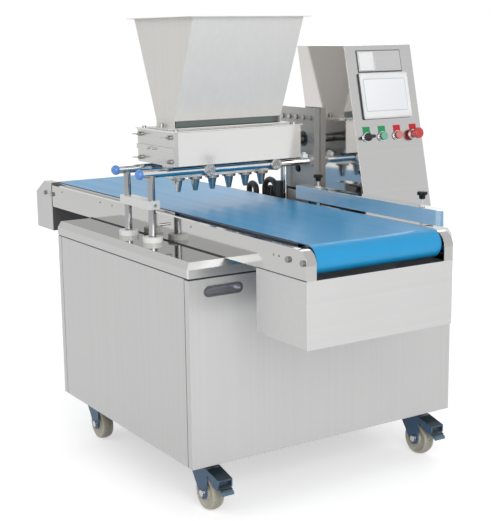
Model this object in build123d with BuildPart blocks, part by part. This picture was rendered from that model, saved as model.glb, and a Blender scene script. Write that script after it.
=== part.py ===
from build123d import *
import os
from math import cos, pi, radians, sin, sqrt, tan

# Cookie depositor on casters: a lifting feed head with a hopper over a belt conveyor, on a cabinet.
# Millimetres. +Z is up, +X to the right and +Y to the back, seen from the discharge end of the belt.
# The origin is on the floor, under the middle of the machine's length and width.

os.makedirs("parts", exist_ok=True)

# Fits
running_gap = 0.05
body_gap = 0.3
bolt_gap = 0.2
edge_chamfer = 1

# Cabinet
cabinet_width = 850
cabinet_depth = 784
cabinet_front_y = -432
panel_top_z = 620
sheet = 1.5
corner_return = 21
seam_gap = 3
front_seam_gap = 5
cover_skirt_height = 22
cover_bevel_height = 18
cover_bevel_inset = 8
frame_angle = 30
frame_wall = 3
riser_inset = 12
riser_width = 16

# Front panel pull handle
handle_center_x = -327
handle_center_z = 583
handle_length = 107
handle_height = 22
handle_depth = 20
handle_rim = 3
handle_lip = 1.5
handle_wall = 1.5

# Casters
caster_inset = 72
caster_headroom = 38
caster_plate_width = 110
caster_plate_depth = 90
caster_plate_thickness = 4
caster_trail = 32
wheel_radius = 47
wheel_width = 32
wheel_hub_radius = 15
wheel_dish = 5
wheel_crown = 4
axle_radius = 6
axle_head_radius = 10
axle_head_height = 6
fork_wall = 3.5
fork_side_gap = 2
fork_crown_thickness = 5
fork_crown_rear = 34
fork_crown_front = -52
fork_end_radius = 17
race_radius = 29
race_height = 10
kingpin_radius = 8
kingpin_head_radius = 13
kingpin_head_height = 6
hood_reach = 108
hood_drop = 14
hood_thickness = 4
pedal_pivot_radius = 4
pedal_thickness = 4
pedal_reach = 30
pedal_drop = 24
pedal_ridge = 2
pedal_ridge_places = (0.35, 0.6, 0.85)
pedal_roof_gap = 1

# Conveyor
conveyor_length = 1544
conveyor_width = 431
conveyor_center_x = -102
rail_height = 69
rail_flange = 27
rail_wall = 3
rail_nose_radius = 35
belt_rise = 6
belt_thickness = 2.5
belt_edge_gap = 3
belt_roller_radius = 32.2
front_roller_inset = 42
tail_roller_inset = 107
roller_end_gap = 2
shaft_radius = 10
bearing_length = 70
bearing_height = 30
bearing_thickness = 18
bearing_bolt_pitch = 58
bed_thickness = 2
bed_flange = 36
bed_end_gap = 6
bed_overhang = 4
bed_spacer_radius = 6
bed_screws = ((-663, 27), (-641, 27), (-260, 14), (200, 14), (281, 14), (560, 14))
bed_screw_radius = 1.5
bed_screw_head_radius = 2.4
bed_screw_head_height = 1.2
bolt_radius = 4
bolt_head_radius = 7.5
bolt_head_height = 5.5
lid_screw_head_radius = 6
lid_screw_head_height = 4
apron_depth = 205
apron_drop = 158
apron_lip = 20
peg_y = -121
peg_z = 703
peg_radius = 3.5
peg_length = 17
tail_cover_length = 129
tail_cover_drop = 80
tail_cover_rise = 8
tail_bevel_run = 70
tail_bevel_drop = 40

# Side guide and star knobs
guide_x = 95
guide_sheet = 2
guide_height = 38
guide_lift = 10
guide_front_inset = 22
guide_length = 607
guide_flange = 36
guide_flare_radius = 60
guide_flare_angle = 28
guide_travel = 14
stud_offset = 10
stud_radius = 4
stud_collar_radius = 8
stud_shoulder_radius = 7
stud_shoulder_height = 5
stud_collar_height = 6
knob_offsets = (82, 514)
knob_bottom_rise = 20
knob_radius = 13
knob_height = 18
knob_lobes = 6
knob_scallop = 4

# Feed head
head_center_x = -100
head_center_y = -52
lift_down = 25
lift_up = 15
bar_z = 841
bar_radius = 11
bar_spacing = 140
bar_left_reach = 289
bar_seat = 8
cap_wall = 2.5
cap_rim = 5
rod_reach = 256
rod_radius = 10
rod_bottom_z = 560
bush_flange_radius = 27
bush_flange_height = 14
bush_body_radius = 17
bush_depth = 35
tie_bar_z = 759
tie_bar_width = 30
tie_bar_height = 23
tie_bar_length = 176
clamp_wall = 5
clamp_radius = 17.5
clamp_places = (-84, 133)
box_width = 406
box_bottom_z = 857
box_height = 94
box_wall = 6
box_floor = 8
box_lid = 4
lid_overhang = 4
gear_wall_offset = 37
end_plate_thickness = 13
corner_post = 28
neck_half_width = 163
neck_half_depth = 44
neck_wall = 2.5
neck_height = 34
slot_half_depth = 12
wing_half_pitch_z = 32
wing_stud_radius = 3
wing_stud_length = 28
wing_hub_radius = 6
wing_hub_height = 9
wing_span = 30
wing_thickness = 3
wing_height = 11
latch_height = 14
latch_thickness = 4
latch_pin_radius = 3
latch_pin_length = 8
latch_pin_pitch = 26
lid_screw_inset = 14

# Feed rollers and gears
feed_center_distance = 64
roller_floor_gap = 5
roller_post_gap = 7
feed_nip = 4
feed_roller_flutes = 16
feed_flute_radius = 2.5
feed_journal_radius = 10
feed_journal_length = 9.5
feed_end_gap = 2
coupling_radius = 13
coupling_end_gap = 3
gear_teeth = 32
gear_width = 14
gear_backlash = 0.35
gear_root_depth = 2.6
gear_tip_height = 1.8
gear_pressure_angle = 20

# Nozzles
nozzle_count = 6
nozzle_pitch = 54.5
nozzle_tip_z = 776
nozzle_flange_z = 817
nozzle_flange_radius = 19.5
nozzle_flange_height = 8.5
nozzle_collar_height = 2
nozzle_cone_radius = 13
nozzle_tip_radius = 6.5
nozzle_bore_radius = 7
nozzle_outlet_radius = 3.5
nozzle_spigot_radius = 9.5
nozzle_spigot_height = 14
manifold_half_depth = 28
manifold_end_margin = 32
manifold_slot_depth = 20

# Hopper
hopper_half_width = 169.5
hopper_top_half_depth = 163
hopper_throat_half_depth = 49
hopper_throat_z = 973
hopper_top_z = 1245
hopper_wall = 1.5
hopper_rim = 18
hopper_base_thickness = 3
hopper_base_half_depth = 60
hopper_base_reach = 26
thumb_screw_offset = 14
thumb_radius = 7
thumb_height = 13
thumb_shank_radius = 3
thumb_shank_length = 7

# Carriage plate and feed motor
plate_offset_x = 263
plate_thickness = 8
plate_edge_margin = 12
plate_fold = 3
plate_fold_gap = 1
plate_bottom_z = 755
plate_height = 235
plate_gap = 12
boss_wall = 5
boss_height = 10
shaft_hole_radius = 22
sight_hole_radius = 11
sight_hole_drop = 88
sight_hole_shift = -7
plate_bolt_pitch = 35
plate_bolt_count = 5
plate_bolt_drop = 28
guide_rail_gap = 6
guide_rail_width = 12
guide_rail_thickness = 6
slide_block_width = 22
slide_block_height = 36
slide_block_inset = 18
quill_radius = 20
gearbox_size = 60
gearbox_length = 50
gearbox_corner_radius = 4
motor_radius = 28
motor_length = 110
motor_shaft_seat = 35
window_gap = 3

# Lift actuator
actuator_x = 149
actuator_shift_y = 41
actuator_rod_radius = 6
actuator_tube_radius = 20
actuator_tube_length = 230
actuator_flange_radius = 32
actuator_flange_height = 5
actuator_rod_hidden = 160
actuator_hole_radius = 9
actuator_head_width = 20
actuator_head_height = 24

# Control housing
housing_width = 234
housing_height = 504
housing_front_y = -363.5
housing_lean = 12.85
housing_depth = 222
housing_sheet = 2
case_top_z = 985
case_rear_y = 50
panel_bottom_gap = 1
screen_width = 171
screen_height = 128
screen_proud = 8
screen_corner_radius = 5
screen_edge_chamfer = 2
screen_body_margin = 9
screen_body_depth = 34
screen_center_left = 119
screen_center_drop = 141.5
controls_drop = 254.5
selector_left = 38
start_left = 92
stop_left = 146
emergency_left = 204
control_hole_radius = 11
control_stem_radius = 10.7
control_stem_depth = 28
control_collar_height = 4
button_radius = 11.5
button_rise = 11
button_travel = 4
mushroom_radius = 15.5
mushroom_neck_rise = 18
mushroom_cap_height = 11
mushroom_edge_radius = 4
selector_radius = 11.5
selector_rise = 9
selector_grip_length = 30
selector_grip_width = 9
selector_grip_height = 12

# Conduit bends beside the belt
conduit_places = ((126, 112, 150, 761, 9), (150, 38, 100, 777, 9), (150, 60, 79, 752, 5.5))
junction_x = (118, 134)
junction_y = (-26, -4)
junction_top_z = 775
junction_corner_radius = 3
gland_wall = 3
gland_height = 14

# Places that follow from the sizes above
cabinet_bottom_z = 2 * wheel_radius + caster_headroom
cabinet_rear_y = cabinet_front_y + cabinet_depth
cover_top_z = panel_top_z + cover_skirt_height + cover_bevel_height
conveyor_front_y = -conveyor_length / 2
conveyor_rear_y = conveyor_length / 2
rail_left_x = conveyor_center_x - conveyor_width / 2
rail_right_x = conveyor_center_x + conveyor_width / 2
rail_top_z = cover_top_z + rail_height
tail_cover_front_y = conveyor_rear_y - tail_cover_length
belt_top_z = rail_top_z + belt_rise
belt_half_width = conveyor_width / 2 - rail_flange - belt_edge_gap
belt_inner_radius = belt_roller_radius + body_gap
belt_outer_radius = belt_inner_radius + belt_thickness
roller_z = belt_top_z - belt_outer_radius
front_roller_y = conveyor_front_y + front_roller_inset
tail_roller_y = conveyor_rear_y - tail_roller_inset
bed_top_z = belt_top_z - belt_thickness - body_gap
bed_half_width = belt_half_width - bed_overhang
bed_screw_points = [(place, rail_top_z - drop) for place, drop in bed_screws]
bar_places = (head_center_y - bar_spacing / 2, head_center_y + bar_spacing / 2)
bar_left_x = head_center_x - bar_left_reach
rod_x = head_center_x - rod_reach
cap_radius = bar_radius + cap_wall
clamp_half_depth = bar_radius + clamp_wall
boss_radius = bar_radius + boss_wall
plate_left_x = head_center_x + plate_offset_x
plate_right_x = plate_left_x + plate_thickness
plate_top_z = plate_bottom_z + plate_height
housing_left_x = plate_right_x + plate_gap
housing_right_x = housing_left_x + housing_width
box_left_x = head_center_x - box_width / 2
box_right_x = head_center_x + box_width / 2
box_body_left_x = box_left_x + end_plate_thickness
box_top_z = box_bottom_z + box_height
box_body_top_z = box_top_z - box_lid
gear_wall_x = box_right_x - gear_wall_offset
feed_axes = (head_center_y - feed_center_distance / 2, head_center_y + feed_center_distance / 2)
gear_x = gear_wall_x + box_wall + feed_end_gap
gear_module = feed_center_distance / gear_teeth
feed_roller_radius = (feed_center_distance - feed_nip) / 2
feed_axis_z = box_bottom_z + box_floor + feed_roller_radius + roller_floor_gap
box_depth = feed_center_distance + 2 * (feed_roller_radius + roller_post_gap + corner_post + box_wall)
wing_half_pitch_y = box_depth / 2 - box_wall - corner_post / 2
guide_rail_half_pitch = feed_center_distance / 2 + gearbox_size / 2 + guide_rail_gap + guide_rail_width / 2
plate_half_width = guide_rail_half_pitch + plate_edge_margin
hopper_base_z = box_top_z + body_gap
caster_y_places = (cabinet_front_y + caster_inset, cabinet_rear_y - caster_inset)
caster_x_places = (-cabinet_width / 2 + caster_inset, cabinet_width / 2 - caster_inset)
guide_bottom_z = rail_top_z + guide_lift
guide_top_z = guide_bottom_z + guide_height
stud_x = guide_x + stud_offset
guide_y = (conveyor_front_y + guide_front_inset, conveyor_front_y + guide_front_inset + guide_length)
knob_places = [guide_y[0] + offset for offset in knob_offsets]
lean_tangent = tan(radians(housing_lean))
lean_cosine = cos(radians(housing_lean))
housing_top_z = cover_top_z + housing_height


# Small forms that many pieces are made of; each is added to the piece being built, or cut from it
def block(x_limits, y_limits, z_limits, mode=Mode.ADD):
    """A rectangular block between the given limits."""
    middle = (sum(x_limits) / 2, sum(y_limits) / 2, sum(z_limits) / 2)
    with Locations(middle):
        Box(x_limits[1] - x_limits[0], y_limits[1] - y_limits[0], z_limits[1] - z_limits[0], mode=mode)


def round_bar(plane, center, radius, length, mode=Mode.ADD):
    """A round bar that stands on a plane, or hangs below it where the length is negative."""
    end = Align.MIN if length > 0 else Align.MAX
    with Locations(plane):
        with Locations((*center, 0)):
            Cylinder(radius, abs(length), align=(Align.CENTER, Align.CENTER, end), mode=mode)


def hex_head(plane, center, radius, length):
    """A hexagonal bolt head that stands on a plane."""
    with BuildSketch(plane) as outline:
        with Locations(center):
            RegularPolygon(radius, 6)
    extrude(outline.sketch, amount=length)


def outline_along_x(points, x_limits, mode=Mode.ADD):
    """A block with a side outline of (y, z) points, between two x limits."""
    with BuildSketch(Plane.YZ.offset(x_limits[0])) as outline:
        with BuildLine():
            Polyline(*points, close=True)
        make_face()
    extrude(outline.sketch, amount=x_limits[1] - x_limits[0], mode=mode)


def save(piece, name):
    """Label a finished piece and write it."""
    piece.label = name
    export_step(piece, f"parts/{name}.step")


# Cabinet frame: angle sections welded along the edges, with two risers under the cover
frame_half_x = cabinet_width / 2 - sheet - body_gap
frame_y = (cabinet_front_y + sheet + body_gap, cabinet_rear_y - sheet - body_gap)
frame_z = (cabinet_bottom_z, panel_top_z + cover_skirt_height)
frame_x = (-frame_half_x, frame_half_x)
beyond = 50


def inside(limits, margin):
    """Limits drawn in by a margin at both ends."""
    return limits[0] + margin, limits[1] - margin


with BuildPart() as base_frame:
    block(frame_x, frame_y, frame_z)
    block(inside(frame_x, frame_wall), inside(frame_y, frame_wall), inside(frame_z, frame_wall),
          mode=Mode.SUBTRACT)
    block(inside(frame_x, -beyond), inside(frame_y, frame_angle), inside(frame_z, frame_angle),
          mode=Mode.SUBTRACT)
    block(inside(frame_x, frame_angle), inside(frame_y, -beyond), inside(frame_z, frame_angle),
          mode=Mode.SUBTRACT)
    block(inside(frame_x, frame_angle), inside(frame_y, frame_angle), inside(frame_z, -beyond),
          mode=Mode.SUBTRACT)
    riser_z = (frame_z[1] - frame_wall, cover_top_z - sheet)
    for riser_y in (frame_y[0] + riser_inset, frame_y[1] - riser_inset - riser_width):
        block(inside(frame_x, riser_inset), (riser_y, riser_y + riser_width), riser_z)
save(base_frame.part, "base_frame")

# Cabinet panels
panel_z = (cabinet_bottom_z, panel_top_z - seam_gap)
front_panel_z = (cabinet_bottom_z, panel_top_z - front_seam_gap)
panel_x = (-cabinet_width / 2, cabinet_width / 2)
panel_y = (cabinet_front_y, cabinet_rear_y)
side_panel_y = inside(panel_y, corner_return + seam_gap)

with BuildPart() as left_panel:
    block((panel_x[0], panel_x[0] + sheet), side_panel_y, panel_z)
save(left_panel.part, "left_panel")

with BuildPart() as right_panel:
    block((panel_x[1] - sheet, panel_x[1]), side_panel_y, panel_z)
save(right_panel.part, "right_panel")

with BuildPart() as rear_panel:
    block(panel_x, (panel_y[1] - corner_return, panel_y[1]), panel_z)
    block(inside(panel_x, sheet), (panel_y[1] - corner_return, panel_y[1] - sheet), panel_z,
          mode=Mode.SUBTRACT)
save(rear_panel.part, "rear_panel")

handle_center = (handle_center_x, cabinet_front_y, handle_center_z)
handle_plane = Plane(origin=handle_center, x_dir=(1, 0, 0), z_dir=(0, -1, 0))

with BuildPart() as front_panel:
    block(panel_x, (panel_y[0], panel_y[0] + corner_return), front_panel_z)
    block(inside(panel_x, sheet), (panel_y[0] + sheet, panel_y[0] + corner_return), front_panel_z,
          mode=Mode.SUBTRACT)
    with BuildSketch(handle_plane):
        SlotOverall(handle_length, handle_height)
    extrude(amount=-2 * sheet, mode=Mode.SUBTRACT)
save(front_panel.part, "front_panel")

# Flush pull handle: a cup with a rounded rim plate, whose inner edge is a lip for the fingers
handle_cup = (handle_length - 2 * bolt_gap, handle_height - 2 * bolt_gap)
handle_pocket = (handle_cup[0] - 2 * handle_wall, handle_cup[1] - 2 * handle_wall)
with BuildPart() as front_handle:
    with BuildSketch(handle_plane):
        SlotOverall(handle_length + 2 * handle_rim, handle_height + 2 * handle_rim)
    extrude(amount=handle_wall)
    with BuildSketch(handle_plane):
        SlotOverall(*handle_cup)
    extrude(amount=-handle_depth)
    with BuildSketch(handle_plane):
        SlotOverall(*handle_pocket)
    extrude(amount=handle_wall - handle_depth, mode=Mode.SUBTRACT)
    with BuildSketch(handle_plane):
        SlotOverall(handle_pocket[0] - 2 * handle_lip, handle_pocket[1] - 2 * handle_lip)
    extrude(amount=handle_wall, mode=Mode.SUBTRACT)
save(front_handle.part, "front_handle")


# Cover: a pan with an upright skirt, a bevel and a flat top
def cover_form(margin):
    """Outside form of the cover, drawn in by a margin for its inside."""
    width = cabinet_width - 2 * margin
    depth = cabinet_depth - 2 * margin
    middle_y = sum(panel_y) / 2
    skirt_top_z = panel_top_z + cover_skirt_height
    with BuildPart() as form:
        with BuildSketch(Plane.XY.offset(panel_top_z)):
            with Locations((0, middle_y)):
                Rectangle(width, depth)
        extrude(amount=cover_skirt_height)
        with BuildSketch(Plane.XY.offset(skirt_top_z)):
            with Locations((0, middle_y)):
                Rectangle(width, depth)
        with BuildSketch(Plane.XY.offset(cover_top_z - margin)):
            with Locations((0, middle_y)):
                Rectangle(width - 2 * cover_bevel_inset, depth - 2 * cover_bevel_inset)
        loft()
    return form.part


actuator_y = head_center_y + actuator_shift_y
with BuildPart() as top_cover:
    add(cover_form(0))
    add(cover_form(sheet), mode=Mode.SUBTRACT)
    for bar_y in bar_places:
        round_bar(Plane.XY.offset(panel_top_z), (rod_x, bar_y), bush_body_radius + bolt_gap, beyond,
                  mode=Mode.SUBTRACT)
    round_bar(Plane.XY.offset(panel_top_z), (actuator_x, actuator_y), actuator_hole_radius, beyond,
              mode=Mode.SUBTRACT)
save(top_cover.part, "top_cover")

# White flanged bushes that guide the lift rods through the cover
with BuildPart() as rod_bushes:
    for bar_y in bar_places:
        round_bar(Plane.XY.offset(cover_top_z), (rod_x, bar_y), bush_flange_radius, bush_flange_height)
        round_bar(Plane.XY.offset(cover_top_z - bush_depth), (rod_x, bar_y), bush_body_radius, bush_depth)
    for bar_y in bar_places:
        round_bar(Plane.XY.offset(panel_top_z), (rod_x, bar_y), rod_radius + running_gap, 2 * beyond,
                  mode=Mode.SUBTRACT)
    chamfer(rod_bushes.edges().filter_by(GeomType.CIRCLE).group_by(Axis.Z)[-1], length=edge_chamfer)
save(rod_bushes.part, "rod_bushes")

# Casters
caster_plate_z = cabinet_bottom_z - caster_plate_thickness
race_bottom_z = caster_plate_z - race_height
crown_top_z = race_bottom_z - body_gap
crown_bottom_z = crown_top_z - fork_crown_thickness
kingpin_bottom_z = crown_bottom_z - body_gap - kingpin_head_height

with BuildPart() as caster_plates:
    for caster_x in caster_x_places:
        for caster_y in caster_y_places:
            plate_x = (caster_x - caster_plate_width / 2, caster_x + caster_plate_width / 2)
            plate_y = (caster_y - caster_plate_depth / 2, caster_y + caster_plate_depth / 2)
            block(plate_x, plate_y, (caster_plate_z, cabinet_bottom_z))
            round_bar(Plane.XY.offset(race_bottom_z), (caster_x, caster_y), race_radius, race_height)
            round_bar(Plane.XY.offset(kingpin_bottom_z), (caster_x, caster_y), kingpin_radius,
                      race_bottom_z - kingpin_bottom_z)
            round_bar(Plane.XY.offset(kingpin_bottom_z), (caster_x, caster_y), kingpin_head_radius,
                      kingpin_head_height)
save(caster_plates.part, "caster_plates")

fork_inner = wheel_width / 2 + fork_side_gap
fork_outer = fork_inner + fork_wall
pedal_pivot_y = -hood_reach + 4 * pedal_pivot_radius
pedal_hub_radius = pedal_pivot_radius + pedal_thickness
pedal_pivot_z = crown_bottom_z - hood_drop - pedal_hub_radius - pedal_roof_gap


def fork_leg(x_start, caster_y):
    """One side of a caster fork: a plate that narrows from the crown to the axle."""
    with BuildPart() as leg:
        with BuildSketch(Plane.YZ.offset(x_start)):
            with Locations((caster_y + (fork_crown_rear + fork_crown_front) / 2, crown_bottom_z)):
                Rectangle(fork_crown_rear - fork_crown_front, 2 * fork_crown_thickness)
            with Locations((caster_y - caster_trail, wheel_radius)):
                Circle(fork_end_radius)
            make_hull()
        extrude(amount=fork_wall)
    return leg.part


def hood(caster_x, caster_y):
    """Sloping roof in front of a braked fork, with two ears for the pedal's pivot."""
    front_z = crown_bottom_z - hood_drop
    slope = [
        (caster_y + fork_crown_front, crown_bottom_z),
        (caster_y + fork_crown_front, crown_bottom_z + hood_thickness),
        (caster_y - hood_reach, front_z + hood_thickness),
        (caster_y - hood_reach, front_z),
    ]
    cheek = [
        (caster_y + fork_crown_front, crown_bottom_z),
        (caster_y - hood_reach, front_z),
        (caster_y - hood_reach, pedal_pivot_z - 2 * pedal_pivot_radius),
        (caster_y + pedal_pivot_y + 2 * pedal_pivot_radius, pedal_pivot_z - 2 * pedal_pivot_radius),
        (caster_y + fork_crown_front, crown_bottom_z - 2 * fork_crown_thickness),
    ]
    with BuildPart() as roof:
        outline_along_x(slope, (caster_x - fork_outer, caster_x + fork_outer))
        outline_along_x(cheek, (caster_x - fork_outer, caster_x - fork_inner))
        outline_along_x(cheek, (caster_x + fork_inner, caster_x + fork_outer))
    return roof.part


def caster_fork(caster_x, caster_y, braked):
    """Fork and axle bolt of one caster; the braked one has a hood and a pivot pin."""
    with BuildPart() as fork:
        add(fork_leg(caster_x - fork_outer, caster_y))
        add(fork_leg(caster_x + fork_inner, caster_y))
        block((caster_x - fork_outer, caster_x + fork_outer),
              (caster_y + fork_crown_front, caster_y + fork_crown_rear), (crown_bottom_z, crown_top_z))
        if braked:
            add(hood(caster_x, caster_y))
        block((caster_x - fork_inner, caster_x + fork_inner),
              (caster_y + fork_crown_front, caster_y + fork_crown_rear),
              (crown_bottom_z - fork_crown_thickness, crown_bottom_z), mode=Mode.SUBTRACT)
        round_bar(Plane.XY.offset(0), (caster_x, caster_y), kingpin_radius + running_gap, cabinet_bottom_z,
                  mode=Mode.SUBTRACT)
        axle_center = (caster_y - caster_trail, wheel_radius)
        axle_plane = Plane.YZ.offset(caster_x - fork_outer)
        round_bar(axle_plane, axle_center, axle_radius, 2 * fork_outer)
        hex_head(Plane.YZ.offset(caster_x - fork_outer - axle_head_height), axle_center, axle_head_radius,
                 axle_head_height)
        hex_head(Plane.YZ.offset(caster_x + fork_outer), axle_center, axle_head_radius, axle_head_height)
        if braked:
            pivot_center = (caster_y + pedal_pivot_y, pedal_pivot_z)
            round_bar(axle_plane, pivot_center, pedal_pivot_radius, 2 * fork_outer)
    return fork.part


def caster_wheel(caster_x, caster_y):
    """A solid wheel with a crowned tread, dished sides and a plain bore."""
    half = wheel_width / 2
    floor = half - wheel_dish
    shoulder = wheel_radius - wheel_crown
    rim = shoulder - wheel_dish
    right_side = [
        (half, shoulder),
        (half, rim),
        (floor, rim - wheel_dish),
        (floor, wheel_hub_radius + wheel_dish),
        (half, wheel_hub_radius),
        (half, axle_radius + running_gap),
    ]
    left_side = [(-x, z) for x, z in reversed(right_side)]
    center = (caster_x, caster_y - caster_trail, wheel_radius)
    with BuildPart() as wheel:
        with BuildSketch(Plane(origin=center, x_dir=(1, 0, 0), z_dir=(0, -1, 0))):
            with BuildLine():
                Polyline(*right_side, *left_side)
                ThreePointArc((-half, shoulder), (0, wheel_radius), (half, shoulder))
            make_face()
        revolve(axis=Axis(center, (1, 0, 0)))
    return wheel.part


def brake_pedal(caster_x, caster_y):
    """Foot pedal of a caster brake: a hub on the pivot pin and a ridged tread that slopes down."""
    hub_radius = pedal_hub_radius
    pivot = (caster_y + pedal_pivot_y, pedal_pivot_z)
    side = (caster_x - fork_inner + body_gap, caster_x + fork_inner - body_gap)
    toe = (pivot[0] - pedal_reach, pivot[1] - pedal_drop)
    tread = [
        (pivot[0], pivot[1] + hub_radius),
        (pivot[0] - hub_radius, pivot[1]),
        (toe[0], toe[1] + pedal_thickness),
        toe,
        (toe[0] + pedal_thickness, toe[1]),
        (pivot[0], pivot[1] - hub_radius),
    ]
    with BuildPart() as pedal:
        outline_along_x(tread, side)
        round_bar(Plane.YZ.offset(side[0]), pivot, hub_radius, side[1] - side[0])
        for share in pedal_ridge_places:
            ridge_y = pivot[0] - hub_radius + share * (toe[0] - pivot[0] + hub_radius)
            ridge_z = pivot[1] + share * (toe[1] + pedal_thickness - pivot[1])
            round_bar(Plane.YZ.offset(side[0]), (ridge_y, ridge_z), pedal_ridge, side[1] - side[0])
        round_bar(Plane.YZ.offset(side[0]), pivot, pedal_pivot_radius + running_gap, side[1] - side[0],
                  mode=Mode.SUBTRACT)
    return pedal.part


for side_name, caster_x in zip(("left", "right"), caster_x_places):
    for end_name, caster_y in zip(("front", "rear"), caster_y_places):
        braked = end_name == "front"
        save(caster_fork(caster_x, caster_y, braked), f"caster_fork_{end_name}_{side_name}")
        save(caster_wheel(caster_x, caster_y), f"caster_wheel_{end_name}_{side_name}")
        if braked:
            save(brake_pedal(caster_x, caster_y), f"brake_pedal_{side_name}")

# Conveyor rails: channels with closed, rounded front ends and their open sides towards the belt
web_left_x = rail_left_x + rail_wall
web_right_x = rail_right_x - rail_wall


def rail_outline(margin):
    """Side outline of a rail, drawn in by a margin; the rear end stays open."""
    with BuildSketch() as outline:
        with BuildLine():
            front = conveyor_front_y + margin
            rear = tail_cover_front_y + (beyond if margin else 0)
            bottom = cover_top_z + margin
            top = rail_top_z - margin
            radius = rail_nose_radius - margin
            Polyline((front, top - radius), (front, bottom), (rear, bottom), (rear, top),
                     (front + radius, top))
            RadiusArc((front + radius, top), (front, top - radius), -radius)
        make_face()
    return outline.sketch


def rail(outer_x, inward):
    """One rail; inward is +1 for the left rail and -1 for the right one."""
    outer_plane = Plane.YZ.offset(outer_x)
    with BuildPart() as channel:
        with BuildSketch(outer_plane):
            add(rail_outline(0))
        extrude(amount=inward * rail_flange)
        with BuildSketch(Plane.YZ.offset(outer_x + inward * rail_wall)):
            add(rail_outline(rail_wall))
        extrude(amount=inward * rail_flange, mode=Mode.SUBTRACT)
        for screw_point in bed_screw_points:
            round_bar(outer_plane, screw_point, bed_screw_radius + bolt_gap, inward * 2 * rail_wall,
                      mode=Mode.SUBTRACT)
        for bolt_y in bearing_bolts:
            if bolt_y < tail_cover_front_y:
                round_bar(outer_plane, (bolt_y, roller_z), bolt_radius + bolt_gap, inward * 2 * rail_wall,
                          mode=Mode.SUBTRACT)
        if inward > 0:
            round_bar(outer_plane, (peg_y, peg_z), peg_radius, -peg_length)
        else:
            for knob_y in knob_places:
                round_bar(Plane.XY.offset(rail_top_z), (stud_x, knob_y), stud_radius + running_gap,
                          -2 * rail_wall, mode=Mode.SUBTRACT)
    return channel.part


bearing_bolts = []
for roller_y in (front_roller_y, tail_roller_y):
    bearing_bolts += [roller_y - bearing_bolt_pitch / 2, roller_y + bearing_bolt_pitch / 2]
save(rail(rail_left_x, 1), "left_rail")
save(rail(rail_right_x, -1), "right_rail")

# Slider bed under the upper run of the belt: a pan that is screwed through spacers to the webs of the rails
bed_x = (conveyor_center_x - bed_half_width, conveyor_center_x + bed_half_width)
bed_y = (front_roller_y + belt_outer_radius + bed_end_gap, tail_roller_y - belt_outer_radius - bed_end_gap)
spacer_length = bed_x[0] - web_left_x
with BuildPart() as slider_bed:
    block(bed_x, bed_y, (bed_top_z - bed_flange, bed_top_z))
    block(inside(bed_x, bed_thickness), bed_y, (bed_top_z - bed_flange, bed_top_z - bed_thickness),
          mode=Mode.SUBTRACT)
    for screw_point in bed_screw_points:
        round_bar(Plane.YZ.offset(web_left_x), screw_point, bed_screw_radius + bolt_gap,
                  web_right_x - web_left_x, mode=Mode.SUBTRACT)
save(slider_bed.part, "slider_bed")


def bed_spacer(start_x, screw_point):
    """A sleeve round a bed screw, between the web of a rail and the side of the bed."""
    with BuildPart() as spacer:
        round_bar(Plane.YZ.offset(start_x), screw_point, bed_spacer_radius, spacer_length)
        round_bar(Plane.YZ.offset(start_x), screw_point, bed_screw_radius + bolt_gap, spacer_length,
                  mode=Mode.SUBTRACT)
    return spacer.part


# Belt: a closed loop round the two rollers
roller_span = tail_roller_y - front_roller_y
with BuildPart() as conveyor_belt:
    with BuildSketch(Plane.YZ.offset(conveyor_center_x)):
        with Locations(((front_roller_y + tail_roller_y) / 2, roller_z)):
            SlotCenterToCenter(roller_span, 2 * belt_outer_radius)
            SlotCenterToCenter(roller_span, 2 * belt_inner_radius, mode=Mode.SUBTRACT)
    extrude(amount=belt_half_width, both=True)
save(conveyor_belt.part, "conveyor_belt")


def belt_roller(roller_y):
    """A belt roller with stub shafts that run in the bearing blocks."""
    drum_left_x = conveyor_center_x - belt_half_width + roller_end_gap
    shaft_start_x = web_left_x + body_gap
    with BuildPart() as roller:
        round_bar(Plane.YZ.offset(drum_left_x), (roller_y, roller_z), belt_roller_radius,
                  2 * (belt_half_width - roller_end_gap))
        round_bar(Plane.YZ.offset(shaft_start_x), (roller_y, roller_z), shaft_radius,
                  conveyor_width - 2 * rail_wall - 2 * body_gap)
    return roller.part


save(belt_roller(front_roller_y), "drive_roller")
save(belt_roller(tail_roller_y), "tail_roller")

with BuildPart() as roller_bearings:
    for roller_y in (front_roller_y, tail_roller_y):
        for web_x, inward in ((web_left_x, 1), (web_right_x, -1)):
            with BuildSketch(Plane.YZ.offset(web_x)):
                with Locations((roller_y, roller_z)):
                    SlotOverall(bearing_length, bearing_height)
            extrude(amount=inward * bearing_thickness)
        round_bar(Plane.YZ.offset(rail_left_x), (roller_y, roller_z), shaft_radius + running_gap,
                  conveyor_width, mode=Mode.SUBTRACT)
    for bolt_y in bearing_bolts:
        round_bar(Plane.YZ.offset(rail_left_x), (bolt_y, roller_z), bolt_radius + bolt_gap, conveyor_width,
                  mode=Mode.SUBTRACT)
save(roller_bearings.part, "roller_bearings")

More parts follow.
